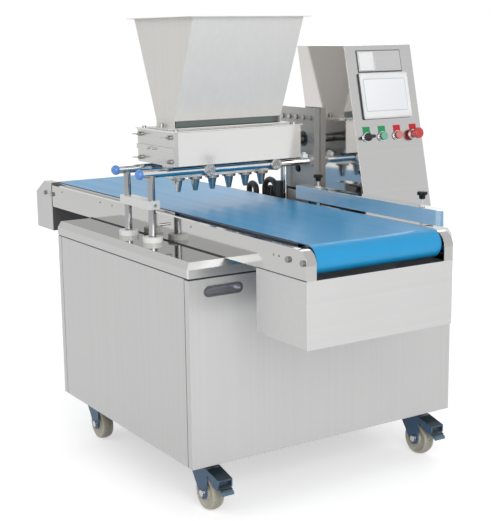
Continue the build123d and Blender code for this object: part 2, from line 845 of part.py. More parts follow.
with BuildPart() as rail_bolts:
    for bolt_y in bearing_bolts:
        shank = rail_wall + bearing_thickness
        hex_head(Plane.YZ.offset(rail_left_x - bolt_head_height), (bolt_y, roller_z), bolt_head_radius,
                 bolt_head_height)
        round_bar(Plane.YZ.offset(rail_left_x), (bolt_y, roller_z), bolt_radius, shank)
        hex_head(Plane.YZ.offset(rail_right_x), (bolt_y, roller_z), bolt_head_radius, bolt_head_height)
        round_bar(Plane.YZ.offset(rail_right_x - shank), (bolt_y, roller_z), bolt_radius, shank)
    bed_screw_length = rail_wall + spacer_length + bed_thickness
    for screw_point in bed_screw_points:
        round_bar(Plane.YZ.offset(rail_left_x), screw_point, bed_screw_head_radius, -bed_screw_head_height)
        round_bar(Plane.YZ.offset(rail_left_x), screw_point, bed_screw_radius, bed_screw_length)
        round_bar(Plane.YZ.offset(rail_right_x), screw_point, bed_screw_head_radius, bed_screw_head_height)
        round_bar(Plane.YZ.offset(rail_right_x), screw_point, bed_screw_radius, -bed_screw_length)
        add(bed_spacer(web_left_x, screw_point))
        add(bed_spacer(bed_x[1], screw_point))
save(rail_bolts.part, "rail_bolts")

# Rear end cover: carries on the rails round the tail roller and hangs lower, with a bevelled rear edge
cover_x = (rail_left_x, rail_right_x)
tail_bottom_z = cover_top_z - tail_cover_drop
tail_top_z = rail_top_z + tail_cover_rise


def tail_outline(margin):
    """Side outline of the rear end cover, drawn in by a margin."""
    front = tail_cover_front_y + margin
    rear = conveyor_rear_y - margin
    bottom = tail_bottom_z + margin
    top = tail_top_z - margin
    return [
        (front, bottom),
        (rear, bottom),
        (rear, top - tail_bevel_drop),
        (rear - tail_bevel_run, top),
        (front, top),
    ]


with BuildPart() as rear_end_cover:
    outline_along_x(tail_outline(0), cover_x)
    outline_along_x(tail_outline(rail_wall), inside(cover_x, rail_wall), mode=Mode.SUBTRACT)
    block(inside(cover_x, rail_flange), (tail_cover_front_y + rail_wall, conveyor_rear_y - rail_wall),
          (roller_z, tail_top_z + beyond), mode=Mode.SUBTRACT)
    block(inside(cover_x, rail_wall), (tail_cover_front_y - beyond, tail_cover_front_y + 2 * rail_wall),
          (cover_top_z, rail_top_z - rail_wall), mode=Mode.SUBTRACT)
    block(inside(cover_x, rail_flange), (tail_cover_front_y - beyond, tail_cover_front_y + 2 * rail_wall),
          (cover_top_z, rail_top_z + beyond), mode=Mode.SUBTRACT)
    for bolt_y in bearing_bolts:
        if bolt_y > tail_cover_front_y:
            round_bar(Plane.YZ.offset(rail_left_x - beyond), (bolt_y, roller_z), bolt_radius + bolt_gap,
                      conveyor_width + 2 * beyond, mode=Mode.SUBTRACT)
save(rear_end_cover.part, "rear_end_cover")

# Front apron: a box that hangs from the rails at the discharge end, open at the top
apron_y = (conveyor_front_y, conveyor_front_y + apron_depth)
apron_z = (cover_top_z - apron_drop, cover_top_z)
with BuildPart() as front_apron:
    block(cover_x, apron_y, apron_z)
    block(inside(cover_x, sheet), inside(apron_y, sheet), (apron_z[0] + sheet, apron_z[1] - sheet),
          mode=Mode.SUBTRACT)
    block(inside(cover_x, apron_lip), inside(apron_y, sheet), (apron_z[1] - 2 * sheet, apron_z[1] + sheet),
          mode=Mode.SUBTRACT)
save(front_apron.part, "front_apron")

# Side guide: an upright sheet with a flared front tip and a slotted flange on top
flare_start = (guide_x, guide_y[0] + guide_flare_radius * sin(radians(guide_flare_angle)))
with BuildPart() as side_guide:
    with BuildSketch(Plane.XY.offset(guide_bottom_z)):
        with BuildLine():
            inner = JernArc(flare_start, (0, -1), guide_flare_radius, guide_flare_angle)
            outer_start = (guide_x + guide_sheet, flare_start[1])
            outer = JernArc(outer_start, (0, -1), guide_flare_radius - guide_sheet, guide_flare_angle)
            Line(inner @ 1, outer @ 1)
            Polyline(outer @ 0, (guide_x + guide_sheet, guide_y[1]), (guide_x, guide_y[1]), inner @ 0)
        make_face()
    extrude(amount=guide_height)
    block((guide_x, guide_x + guide_flange), (flare_start[1], guide_y[1]),
          (guide_top_z - guide_sheet, guide_top_z))
    for knob_y in knob_places:
        with BuildSketch(Plane.XY.offset(guide_top_z - 2 * guide_sheet)):
            with Locations((stud_x + guide_travel / 2, knob_y)):
                SlotCenterToCenter(guide_travel, 2 * (stud_radius + body_gap))
        extrude(amount=3 * guide_sheet, mode=Mode.SUBTRACT)
save(side_guide.part, "side_guide")


def star_knob(knob_y):
    """A lobed knob on a long stud; a collar and a shoulder of the stud hold the guide's flange."""
    head_z = guide_top_z + knob_bottom_rise
    with BuildPart() as knob:
        with BuildSketch(Plane.XY.offset(head_z)):
            with Locations((stud_x, knob_y)):
                Circle(knob_radius)
                with PolarLocations(knob_radius + knob_scallop / 2, knob_lobes):
                    Circle(knob_scallop, mode=Mode.SUBTRACT)
        extrude(amount=knob_height)
        chamfer(knob.faces().sort_by(Axis.Z)[-1].edges(), length=edge_chamfer)
        round_bar(Plane.XY.offset(guide_top_z + body_gap), (stud_x, knob_y), stud_collar_radius,
                  stud_collar_height)
        round_bar(Plane.XY.offset(guide_top_z - guide_sheet - body_gap), (stud_x, knob_y),
                  stud_shoulder_radius, -stud_shoulder_height)
        round_bar(Plane.XY.offset(rail_top_z - rail_wall), (stud_x, knob_y), stud_radius,
                  head_z - rail_top_z + rail_wall)
    return knob.part


for knob_name, knob_y in zip(("front", "rear"), knob_places):
    save(star_knob(knob_y), f"star_knob_{knob_name}")

# Lift frame: two rods, two cross bars with ball caps, and the tie bar between the rods
bar_right_x = plate_left_x - boss_height + bar_seat
with BuildPart() as lift_bars:
    for bar_y in bar_places:
        round_bar(Plane.YZ.offset(bar_left_x), (bar_y, bar_z), bar_radius, bar_right_x - bar_left_x)
save(lift_bars.part, "lift_bars")

cap_bore = bar_radius + running_gap
cap_rim_radius = sqrt(cap_radius ** 2 - cap_rim ** 2)
with BuildPart() as bar_end_caps:
    for bar_y in bar_places:
        with BuildSketch(Plane(origin=(bar_left_x, bar_y, bar_z), x_dir=(1, 0, 0), z_dir=(0, -1, 0))):
            with BuildLine():
                ThreePointArc((-cap_radius, 0), (0, cap_radius), (cap_rim, cap_rim_radius))
                Polyline((cap_rim, cap_rim_radius), (cap_rim, cap_bore), (0, cap_bore), (0, 0),
                         (-cap_radius, 0))
            make_face()
        revolve(axis=Axis((bar_left_x, bar_y, bar_z), (1, 0, 0)))
save(bar_end_caps.part, "bar_end_caps")

with BuildPart() as lift_rods:
    for bar_y in bar_places:
        round_bar(Plane.XY.offset(rod_bottom_z), (rod_x, bar_y), rod_radius, bar_z - rod_bottom_z)
        round_bar(Plane.YZ.offset(bar_left_x), (bar_y, bar_z), bar_radius + running_gap, 2 * rod_reach,
                  mode=Mode.SUBTRACT)
save(lift_rods.part, "lift_rods")

tie_y = (head_center_y - tie_bar_length / 2, head_center_y + tie_bar_length / 2)
tie_z = (tie_bar_z - tie_bar_height / 2, tie_bar_z + tie_bar_height / 2)
tie_x = (rod_x - tie_bar_width / 2, rod_x + tie_bar_width / 2)
with BuildPart() as tie_bar:
    block(tie_x, tie_y, tie_z)
    for bar_y in bar_places:
        round_bar(Plane.XY.offset(tie_z[0] - beyond), (rod_x, bar_y), rod_radius + running_gap, 3 * beyond,
                  mode=Mode.SUBTRACT)
save(tie_bar.part, "tie_bar")

# Round clamps on the cross bars, flat on top where they carry the feed box
with BuildPart() as bar_clamps:
    for clamp_place in clamp_places:
        clamp_center = (head_center_x + clamp_place, bar_z)
        for bar_y in bar_places:
            clamp_plane = Plane.XZ.offset(clamp_half_depth - bar_y)
            round_bar(clamp_plane, clamp_center, clamp_radius, -2 * clamp_half_depth)
    chamfer(bar_clamps.edges().filter_by(GeomType.CIRCLE), length=edge_chamfer)
    for bar_y in bar_places:
        round_bar(Plane.YZ.offset(bar_left_x), (bar_y, bar_z), bar_radius + running_gap,
                  bar_right_x - bar_left_x, mode=Mode.SUBTRACT)
    block((bar_left_x, bar_right_x), inside(bar_places, -beyond), (box_bottom_z, box_top_z),
          mode=Mode.SUBTRACT)
save(bar_clamps.part, "bar_clamps")

# Feed box: walls, floor with an outlet slot and a cross wall for the gears
box_y = (head_center_y - box_depth / 2, head_center_y + box_depth / 2)
box_x = (box_body_left_x, box_right_x)
box_z = (box_bottom_z, box_body_top_z)
slot_half_width = nozzle_pitch * (nozzle_count - 1) / 2 + nozzle_bore_radius
feed_bore = feed_journal_radius + running_gap
with BuildPart() as feed_box:
    block(box_x, box_y, box_z)
    block((box_x[0], gear_wall_x), inside(box_y, box_wall), (box_z[0] + box_floor, box_z[1]),
          mode=Mode.SUBTRACT)
    block((gear_wall_x + box_wall, box_x[1] - box_wall), inside(box_y, box_wall),
          (box_z[0] + box_floor, box_z[1]), mode=Mode.SUBTRACT)
    for post_y in (box_y[0] + box_wall, box_y[1] - box_wall - corner_post):
        for post_z in (box_z[0] + box_floor, box_z[1] - corner_post):
            block((box_x[0], box_x[0] + corner_post), (post_y, post_y + corner_post),
                  (post_z, post_z + corner_post))
    block((head_center_x - slot_half_width, head_center_x + slot_half_width),
          (head_center_y - slot_half_depth, head_center_y + slot_half_depth),
          (box_z[0], box_z[0] + box_floor), mode=Mode.SUBTRACT)
    for axis_y in feed_axes:
        round_bar(Plane.YZ.offset(gear_wall_x), (axis_y, feed_axis_z), feed_bore, box_wall,
                  mode=Mode.SUBTRACT)
    round_bar(Plane.YZ.offset(gear_wall_x), (feed_axes[0], feed_axis_z), feed_bore, gear_wall_offset,
              mode=Mode.SUBTRACT)
    for wing_y in (head_center_y - wing_half_pitch_y, head_center_y + wing_half_pitch_y):
        for wing_z in (sum(box_z) / 2 - wing_half_pitch_z, sum(box_z) / 2 + wing_half_pitch_z):
            round_bar(Plane.YZ.offset(box_x[0]), (wing_y, wing_z), wing_stud_radius + bolt_gap, corner_post,
                      mode=Mode.SUBTRACT)
save(feed_box.part, "feed_box")

# Lid of the feed box with the hopper's neck and the holes of the hopper's screws
lid_x = (box_left_x - lid_overhang, box_right_x + lid_overhang)
neck_x = (head_center_x - neck_half_width, head_center_x + neck_half_width)
neck_y = (head_center_y - neck_half_depth, head_center_y + neck_half_depth)
with BuildPart() as feed_lid:
    block(lid_x, inside(box_y, -lid_overhang), (box_body_top_z, box_top_z))
    block(neck_x, neck_y, (box_top_z, box_top_z + neck_height))
    block(inside(neck_x, neck_wall), inside(neck_y, neck_wall), (box_body_top_z, box_top_z + neck_height),
          mode=Mode.SUBTRACT)
    for side in (-1, 1):
        round_bar(Plane.XY.offset(box_body_top_z),
                  (head_center_x + side * (hopper_half_width + thumb_screw_offset), head_center_y),
                  thumb_shank_radius + body_gap, box_lid, mode=Mode.SUBTRACT)
save(feed_lid.part, "feed_lid")

# End plate with the rollers' outer bearings, and the latch bar with its two pins
with BuildPart() as end_plate:
    block((box_left_x, box_body_left_x), box_y, box_z)
    for axis_y in feed_axes:
        round_bar(Plane.YZ.offset(box_body_left_x - feed_journal_length - body_gap), (axis_y, feed_axis_z),
                  feed_bore, beyond, mode=Mode.SUBTRACT)
    for wing_y in (head_center_y - wing_half_pitch_y, head_center_y + wing_half_pitch_y):
        for wing_z in (sum(box_z) / 2 - wing_half_pitch_z, sum(box_z) / 2 + wing_half_pitch_z):
            round_bar(Plane.YZ.offset(box_left_x), (wing_y, wing_z), wing_stud_radius + bolt_gap,
                      end_plate_thickness, mode=Mode.SUBTRACT)
    latch_x = (box_left_x - latch_thickness, box_left_x)
    latch_z = (feed_axis_z - latch_height / 2, feed_axis_z + latch_height / 2)
    block(latch_x, box_y, latch_z)
    for pin_y in (head_center_y, head_center_y + latch_pin_pitch):
        round_bar(Plane.YZ.offset(latch_x[0] - latch_pin_length), (pin_y, feed_axis_z), latch_pin_radius,
                  latch_pin_length)
save(end_plate.part, "end_plate")


def wing_nut(wing_y, wing_z):
    """A wing nut and its stud, on the end plate."""
    hub_x = box_left_x - wing_hub_height
    tip_x = hub_x - wing_height
    root_x = box_left_x - wing_thickness
    with BuildPart() as nut:
        round_bar(Plane.YZ.offset(hub_x), (wing_y, wing_z), wing_hub_radius, wing_hub_height)
        with BuildSketch(Plane.XY.offset(wing_z - wing_thickness / 2)):
            with BuildLine():
                Polyline((root_x, wing_y - wing_hub_radius), (tip_x, wing_y - wing_span / 2),
                         (tip_x, wing_y - wing_span / 4), (hub_x, wing_y), (tip_x, wing_y + wing_span / 4),
                         (tip_x, wing_y + wing_span / 2), (root_x, wing_y + wing_hub_radius), close=True)
            make_face()
        extrude(amount=wing_thickness)
        round_bar(Plane.YZ.offset(box_left_x), (wing_y, wing_z), wing_stud_radius, wing_stud_length)
    return nut.part


with BuildPart() as head_fasteners:
    for wing_y in (head_center_y - wing_half_pitch_y, head_center_y + wing_half_pitch_y):
        for wing_z in (sum(box_z) / 2 - wing_half_pitch_z, sum(box_z) / 2 + wing_half_pitch_z):
            add(wing_nut(wing_y, wing_z))
    for index in range(plate_bolt_count):
        bolt_y = head_center_y + (index - (plate_bolt_count - 1) / 2) * plate_bolt_pitch
        hex_head(Plane.YZ.offset(plate_left_x - bolt_head_height), (bolt_y, plate_top_z - plate_bolt_drop),
                 bolt_head_radius, bolt_head_height)
    for screw_x in (box_left_x + lid_screw_inset, box_right_x - lid_screw_inset):
        for screw_y in (box_y[0] + lid_screw_inset, box_y[1] - lid_screw_inset):
            round_bar(Plane.XY.offset(box_top_z), (screw_x, screw_y), lid_screw_head_radius,
                      lid_screw_head_height)
save(head_fasteners.part, "head_fasteners")


# Feed rollers: fluted, with journals, and a gear on the drive end
def gear_tooth():
    """Outline of one tooth of the feed gears, measured out from the gear's axis."""
    pitch_radius = gear_module * gear_teeth / 2
    thickness = gear_module * pi / 2 - gear_backlash
    root = pitch_radius - gear_root_depth
    tip = pitch_radius + gear_tip_height
    slope = tan(radians(gear_pressure_angle))
    root_half = thickness / 2 + (pitch_radius - root) * slope
    tip_half = thickness / 2 - (tip - pitch_radius) * slope
    return [
        (root - gear_module, -root_half),
        (root, -root_half),
        (tip, -tip_half),
        (tip, tip_half),
        (root, root_half),
        (root - gear_module, root_half),
    ]


def feed_roller(axis_y, first_tooth, shaft_right_x):
    """A feed roller; first_tooth turns its gear, and its shaft ends at shaft_right_x."""
    drum_x = (box_body_left_x + feed_end_gap, gear_wall_x - feed_end_gap)
    shaft_left_x = box_body_left_x - feed_journal_length
    root_radius = gear_module * gear_teeth / 2 - gear_root_depth
    with BuildPart() as roller:
        with BuildSketch(Plane.YZ.offset(drum_x[0])):
            with Locations((axis_y, feed_axis_z)):
                Circle(feed_roller_radius)
                with PolarLocations(feed_roller_radius, feed_roller_flutes):
                    Circle(feed_flute_radius, mode=Mode.SUBTRACT)
        extrude(amount=drum_x[1] - drum_x[0])
        round_bar(Plane.YZ.offset(shaft_left_x), (axis_y, feed_axis_z), feed_journal_radius,
                  shaft_right_x - shaft_left_x)
        with BuildSketch(Plane.YZ.offset(gear_x)):
            with Locations((axis_y, feed_axis_z)):
                Circle(root_radius)
                with PolarLocations(0, gear_teeth, start_angle=first_tooth):
                    Polygon(*gear_tooth(), align=None)
        extrude(amount=gear_width)
    return roller.part


coupling_x = (box_right_x + coupling_end_gap, plate_left_x - coupling_end_gap)
with BuildPart() as feed_roller_front:
    add(feed_roller(feed_axes[0], 0, plate_right_x + motor_shaft_seat))
    round_bar(Plane.YZ.offset(coupling_x[0]), (feed_axes[0], feed_axis_z), coupling_radius,
              coupling_x[1] - coupling_x[0])
save(feed_roller_front.part, "feed_roller_front")
save(feed_roller(feed_axes[1], 180 / gear_teeth, gear_x + gear_width), "feed_roller_rear")

# Nozzle manifold and nozzles
first_nozzle_x = head_center_x - (nozzle_count - 1) / 2 * nozzle_pitch
nozzle_places = [first_nozzle_x + index * nozzle_pitch for index in range(nozzle_count)]
manifold_half_width = nozzle_pitch * (nozzle_count - 1) / 2 + manifold_end_margin
with BuildPart() as nozzle_plate:
    block((head_center_x - manifold_half_width, head_center_x + manifold_half_width),
          (head_center_y - manifold_half_depth, head_center_y + manifold_half_depth),
          (nozzle_flange_z, box_bottom_z))
    block((head_center_x - slot_half_width, head_center_x + slot_half_width),
          (head_center_y - slot_half_depth, head_center_y + slot_half_depth),
          (box_bottom_z - manifold_slot_depth, box_bottom_z), mode=Mode.SUBTRACT)
    for nozzle_x in nozzle_places:
        round_bar(Plane.XY.offset(nozzle_flange_z), (nozzle_x, head_center_y),
                  nozzle_spigot_radius + running_gap, nozzle_spigot_height, mode=Mode.SUBTRACT)
        round_bar(Plane.XY.offset(nozzle_flange_z), (nozzle_x, head_center_y), nozzle_bore_radius,
                  box_bottom_z - nozzle_flange_z, mode=Mode.SUBTRACT)
save(nozzle_plate.part, "nozzle_plate")


def nozzle(nozzle_x):
    """One nozzle: spigot, flange with a tapering collar under it, and cone, with a tapering bore."""
    flange_bottom_z = nozzle_flange_z - nozzle_flange_height
    collar_bottom_z = flange_bottom_z - nozzle_collar_height
    spigot_top_z = nozzle_flange_z + nozzle_spigot_height
    plane = Plane(origin=(nozzle_x, head_center_y, 0), x_dir=(1, 0, 0), z_dir=(0, -1, 0))
    with BuildPart() as tip:
        with BuildSketch(plane):
            with BuildLine():
                Polyline((nozzle_outlet_radius, nozzle_tip_z), (nozzle_tip_radius, nozzle_tip_z),
                         (nozzle_cone_radius, collar_bottom_z), (nozzle_flange_radius, flange_bottom_z),
                         (nozzle_flange_radius, nozzle_flange_z), (nozzle_spigot_radius, nozzle_flange_z),
                         (nozzle_spigot_radius, spigot_top_z), (nozzle_bore_radius, spigot_top_z),
                         (nozzle_bore_radius, flange_bottom_z), close=True)
            make_face()
        revolve(axis=Axis((nozzle_x, head_center_y, 0), (0, 0, 1)))
    return tip.part


with BuildPart() as nozzles:
    for nozzle_x in nozzle_places:
        add(nozzle(nozzle_x))
save(nozzles.part, "nozzles")


# Hopper: upright end walls, sloping front and rear walls, a rim and a base flange on the feed box
def hopper_outline(margin):
    """End outline of the hopper, drawn in by the wall for its inside."""
    throat = hopper_throat_half_depth + margin
    top = hopper_top_half_depth + margin
    return [(head_center_y - throat, hopper_throat_z), (head_center_y + throat, hopper_throat_z),
            (head_center_y + top, hopper_top_z), (head_center_y - top, hopper_top_z)]


hopper_x = (head_center_x - hopper_half_width, head_center_x + hopper_half_width)
hopper_outer_x = inside(hopper_x, -hopper_wall)
base_y = (head_center_y - hopper_base_half_depth, head_center_y + hopper_base_half_depth)
throat_y = (head_center_y - hopper_throat_half_depth, head_center_y + hopper_throat_half_depth)
rim_y = (head_center_y - hopper_top_half_depth, head_center_y + hopper_top_half_depth)
base_z = (hopper_base_z, hopper_base_z + hopper_base_thickness)
with BuildPart() as hopper:
    outline_along_x(hopper_outline(hopper_wall), hopper_outer_x)
    block(inside(hopper_x, -hopper_rim), inside(rim_y, -hopper_rim),
          (hopper_top_z - hopper_wall, hopper_top_z))
    block(hopper_outer_x, inside(throat_y, -hopper_wall), (base_z[0], hopper_throat_z))
    block(inside(hopper_x, -hopper_base_reach), base_y, base_z)
    outline_along_x(hopper_outline(0), hopper_x, mode=Mode.SUBTRACT)
    block(hopper_x, inside(throat_y, -beyond), (base_z[1], hopper_throat_z), mode=Mode.SUBTRACT)
    block(hopper_x, throat_y, (base_z[0], base_z[1]), mode=Mode.SUBTRACT)
    for side in (-1, 1):
        round_bar(Plane.XY.offset(base_z[0]),
                  (head_center_x + side * (hopper_half_width + thumb_screw_offset), head_center_y),
                  thumb_shank_radius + running_gap, hopper_base_thickness, mode=Mode.SUBTRACT)
save(hopper.part, "hopper")

with BuildPart() as hopper_screws:
    for side in (-1, 1):
        screw_center = (head_center_x + side * (hopper_half_width + thumb_screw_offset), head_center_y)
        round_bar(Plane.XY.offset(base_z[1]), screw_center, thumb_radius, thumb_height)
        round_bar(Plane.XY.offset(base_z[1] - thumb_shank_length), screw_center, thumb_shank_radius,
                  thumb_shank_length)
    chamfer(hopper_screws.edges().filter_by(GeomType.CIRCLE).group_by(Axis.Z)[-1], length=edge_chamfer)
save(hopper_screws.part, "hopper_screws")

# Carriage plate at the drive end: bosses for the cross bars, folded edges and slide blocks on its back
carriage_y = (head_center_y - plate_half_width, head_center_y + plate_half_width)
guide_rail_places = (head_center_y - guide_rail_half_pitch, head_center_y + guide_rail_half_pitch)
slide_places = (plate_bottom_z + slide_block_inset, plate_top_z - slide_block_inset - slide_block_height)
groove_half_width = guide_rail_width / 2 + body_gap
with BuildPart() as carriage_plate:
    block((plate_left_x, plate_right_x), carriage_y, (plate_bottom_z, plate_top_z))
    for fold_y in (carriage_y[0], carriage_y[1] - plate_fold):
        block((plate_right_x, housing_left_x - plate_fold_gap), (fold_y, fold_y + plate_fold),
              (plate_bottom_z, plate_top_z))
    for bar_y in bar_places:
        round_bar(Plane.YZ.offset(plate_left_x - boss_height), (bar_y, bar_z), boss_radius, boss_height)
        round_bar(Plane.YZ.offset(plate_left_x - boss_height), (bar_y, bar_z), bar_radius + running_gap,
                  bar_seat, mode=Mode.SUBTRACT)
    round_bar(Plane.YZ.offset(plate_left_x), (feed_axes[0], feed_axis_z), shaft_hole_radius, plate_thickness,
              mode=Mode.SUBTRACT)
    round_bar(Plane.YZ.offset(plate_left_x),
              (head_center_y + sight_hole_shift, feed_axis_z - sight_hole_drop), sight_hole_radius,
              plate_thickness, mode=Mode.SUBTRACT)
    for guide_rail_y in guide_rail_places:
        for slide_z in slide_places:
            block((plate_right_x, housing_left_x - body_gap),
                  (guide_rail_y - slide_block_width / 2, guide_rail_y + slide_block_width / 2),
                  (slide_z, slide_z + slide_block_height))
            block((housing_left_x - guide_rail_thickness - body_gap, housing_left_x),
                  (guide_rail_y - groove_half_width, guide_rail_y + groove_half_width),
                  (slide_z, slide_z + slide_block_height), mode=Mode.SUBTRACT)
save(carriage_plate.part, "carriage_plate")

with BuildPart() as guide_rails:
    for guide_rail_y in guide_rail_places:
        block((housing_left_x - guide_rail_thickness, housing_left_x),
              (guide_rail_y - guide_rail_width / 2, guide_rail_y + guide_rail_width / 2),
              (plate_bottom_z - lift_down, case_top_z - housing_sheet))
save(guide_rails.part, "guide_rails")

# Feed gear motor behind the carriage plate
gearbox_y = (feed_axes[0] - gearbox_size / 2, feed_axes[0] + gearbox_size / 2)
gearbox_z = (feed_axis_z - gearbox_size / 2, feed_axis_z + gearbox_size / 2)
with BuildPart() as feed_motor:
    block((plate_right_x, plate_right_x + gearbox_length), gearbox_y, gearbox_z)
    fillet(feed_motor.edges().filter_by(Axis.X), radius=gearbox_corner_radius)
    round_bar(Plane.YZ.offset(plate_right_x + gearbox_length), (feed_axes[0], feed_axis_z), motor_radius,
              motor_length)
    round_bar(Plane.YZ.offset(plate_left_x), (feed_axes[0], feed_axis_z), quill_radius, plate_thickness)
    round_bar(Plane.YZ.offset(plate_left_x), (feed_axes[0], feed_axis_z), feed_bore,
              plate_thickness + motor_shaft_seat + body_gap, mode=Mode.SUBTRACT)
save(feed_motor.part, "feed_motor")

# Lift actuator under the cover, and its push rod with a head that is bolted to the carriage plate
cover_under_z = cover_top_z - sheet
with BuildPart() as lift_actuator:
    round_bar(Plane.XY.offset(cover_under_z - actuator_flange_height), (actuator_x, actuator_y),
              actuator_flange_radius, actuator_flange_height)
    round_bar(Plane.XY.offset(cover_under_z - actuator_tube_length), (actuator_x, actuator_y),
              actuator_tube_radius, actuator_tube_length)
    round_bar(Plane.XY.offset(cover_under_z), (actuator_x, actuator_y), actuator_rod_radius + running_gap,
              -(actuator_rod_hidden + lift_down + body_gap), mode=Mode.SUBTRACT)
save(lift_actuator.part, "lift_actuator")

head_half = actuator_head_width / 2
with BuildPart() as actuator_rod:
    round_bar(Plane.XY.offset(cover_under_z - actuator_rod_hidden), (actuator_x, actuator_y),
              actuator_rod_radius, bar_z - cover_under_z + actuator_rod_hidden)
    block((actuator_x - head_half, plate_left_x), (actuator_y - head_half, actuator_y + head_half),
          (bar_z - actuator_head_height / 2, bar_z + actuator_head_height / 2))
save(actuator_rod.part, "actuator_rod")

# Control housing: a leaning shell, with the drive case behind it in one piece
front_shift = housing_sheet / lean_cosine
front_top_y = housing_front_y + housing_height * lean_tangent
rear_top_y = front_top_y + housing_depth
case_joint_y = rear_top_y - (housing_top_z - case_top_z) * lean_tangent
housing_outline = [
    (housing_front_y + front_shift, cover_top_z),
    (front_top_y + front_shift, housing_top_z),
    (rear_top_y, housing_top_z),
    (case_joint_y, case_top_z),
    (case_rear_y, case_top_z),
    (case_rear_y, cover_top_z),
]
housing_hollow = [
    (housing_front_y - beyond, cover_top_z - beyond),
    (housing_front_y - beyond, cover_top_z),
    (front_top_y - housing_sheet * lean_tangent - beyond, housing_top_z - housing_sheet),
    (rear_top_y - front_shift - housing_sheet * lean_tangent, housing_top_z - housing_sheet),
    (case_joint_y - front_shift - housing_sheet * lean_tangent, case_top_z - housing_sheet),
    (case_rear_y - housing_sheet, case_top_z - housing_sheet),
    (case_rear_y - housing_sheet, cover_top_z - beyond),
]
window_y = (gearbox_y[0] - window_gap, gearbox_y[1] + window_gap)
window_z = (gearbox_z[0] - lift_down - window_gap, gearbox_z[1] + lift_up + window_gap)
with BuildPart() as housing_shell:
    outline_along_x(housing_outline, (housing_left_x, housing_right_x))
    outline_along_x(housing_hollow, (housing_left_x + housing_sheet, housing_right_x - housing_sheet),
                    mode=Mode.SUBTRACT)
    block((housing_left_x, housing_left_x + housing_sheet), window_y, window_z, mode=Mode.SUBTRACT)
save(housing_shell.part, "housing_shell")

# Control panel: the leaning front of the housing, with places set from its left edge and its top
panel_length = housing_height / lean_cosine
panel_normal = (0, -lean_cosine, sin(radians(housing_lean)))


def panel_plane(left, drop, rise=0):
    """A plane on the control panel, set from its left edge, its top and its face."""
    up = panel_length - drop
    x = housing_left_x + left
    y = housing_front_y + up * sin(radians(housing_lean)) + rise * panel_normal[1]
    z = cover_top_z + up * lean_cosine + rise * panel_normal[2]
    return Plane(origin=(x, y, z), x_dir=(1, 0, 0), z_dir=panel_normal)


control_places = (selector_left, start_left, stop_left, emergency_left)
panel_middle_drop = (panel_length - panel_bottom_gap) / 2
with BuildPart() as control_panel:
    with BuildSketch(panel_plane(housing_width / 2, panel_middle_drop)):
        Rectangle(housing_width, panel_length - panel_bottom_gap)
    extrude(amount=-housing_sheet)
    with BuildSketch(panel_plane(screen_center_left, screen_center_drop)):
        Rectangle(screen_width - 2 * screen_body_margin, screen_height - 2 * screen_body_margin)
    extrude(amount=-2 * housing_sheet, mode=Mode.SUBTRACT)
    for control_left in control_places:
        round_bar(panel_plane(control_left, controls_drop), (0, 0), control_hole_radius, -2 * housing_sheet,
                  mode=Mode.SUBTRACT)
save(control_panel.part, "control_panel")

with BuildPart() as touch_screen:
    with BuildSketch(panel_plane(screen_center_left, screen_center_drop)):
        RectangleRounded(screen_width, screen_height, screen_corner_radius)
    extrude(amount=screen_proud)
    chamfer(touch_screen.faces().sort_by(Axis.Y)[0].edges(), length=screen_edge_chamfer)
    with BuildSketch(panel_plane(screen_center_left, screen_center_drop)):
        Rectangle(screen_width - 2 * screen_body_margin - 2 * bolt_gap,
                  screen_height - 2 * screen_body_margin - 2 * bolt_gap)
    extrude(amount=-screen_body_depth)
save(touch_screen.part, "touch_screen")


def control_stem(control_left):
    """Stem of a control, from behind the panel to the front of its collar."""
    start = panel_plane(control_left, controls_drop, -control_stem_depth)
    round_bar(start, (0, 0), control_stem_radius, control_stem_depth + control_collar_height)


def push_button(control_left):
    """A round push button that stands proud of its collar by more than its travel."""
    with BuildPart() as button:
        control_stem(control_left)
        round_bar(panel_plane(control_left, controls_drop, control_collar_height + button_travel + body_gap),
                  (0, 0), button_radius, button_rise - control_collar_height - button_travel)
        round_bar(panel_plane(control_left, controls_drop), (0, 0), control_stem_radius, button_rise)
    return button.part


save(push_button(start_left), "start_button")
save(push_button(stop_left), "stop_button")

with BuildPart() as emergency_stop:
    control_stem(emergency_left)
    round_bar(panel_plane(emergency_left, controls_drop), (0, 0), control_stem_radius, mushroom_neck_rise)
    round_bar(panel_plane(emergency_left, controls_drop, mushroom_neck_rise), (0, 0), mushroom_radius,
              mushroom_cap_height)
    fillet(emergency_stop.edges().filter_by(GeomType.CIRCLE).sort_by(Axis.Y)[0], radius=mushroom_edge_radius)
save(emergency_stop.part, "emergency_stop")

with BuildPart() as mode_selector:
    control_stem(selector_left)
    round_bar(panel_plane(selector_left, controls_drop, control_collar_height + body_gap), (0, 0),
              selector_radius, selector_rise - control_collar_height)
    round_bar(panel_plane(selector_left, controls_drop), (0, 0), control_stem_radius, selector_rise)
    with BuildSketch(panel_plane(selector_left, controls_drop, selector_rise)):
        SlotOverall(selector_grip_length, selector_grip_width)
    extrude(amount=selector_grip_height)
save(mode_selector.part, "mode_selector")


# Black conduit bends beside the belt, each from one gland on the cover to another, and a junction box
def conduit_bend(loop_x, near_y, far_y, top_z, conduit_radius):
    """One bend: two upright legs joined by a half circle."""
    bend = (far_y - near_y) / 2
    leg_z = top_z - conduit_radius - bend
    with BuildPart() as loop:
        with BuildLine(Plane.YZ.offset(loop_x)) as path:
            Line((near_y, cover_top_z), (near_y, leg_z))
            ThreePointArc((near_y, leg_z), (near_y + bend, leg_z + bend), (far_y, leg_z))
            Line((far_y, leg_z), (far_y, cover_top_z))
        with BuildSketch(Plane(origin=(loop_x, near_y, cover_top_z), z_dir=(0, 0, 1))):
            Circle(conduit_radius)
        sweep(path=path.line)
        for leg_y in (near_y, far_y):
            hex_head(Plane.XY.offset(cover_top_z), (loop_x, leg_y), conduit_radius + gland_wall, gland_height)
    return loop.part


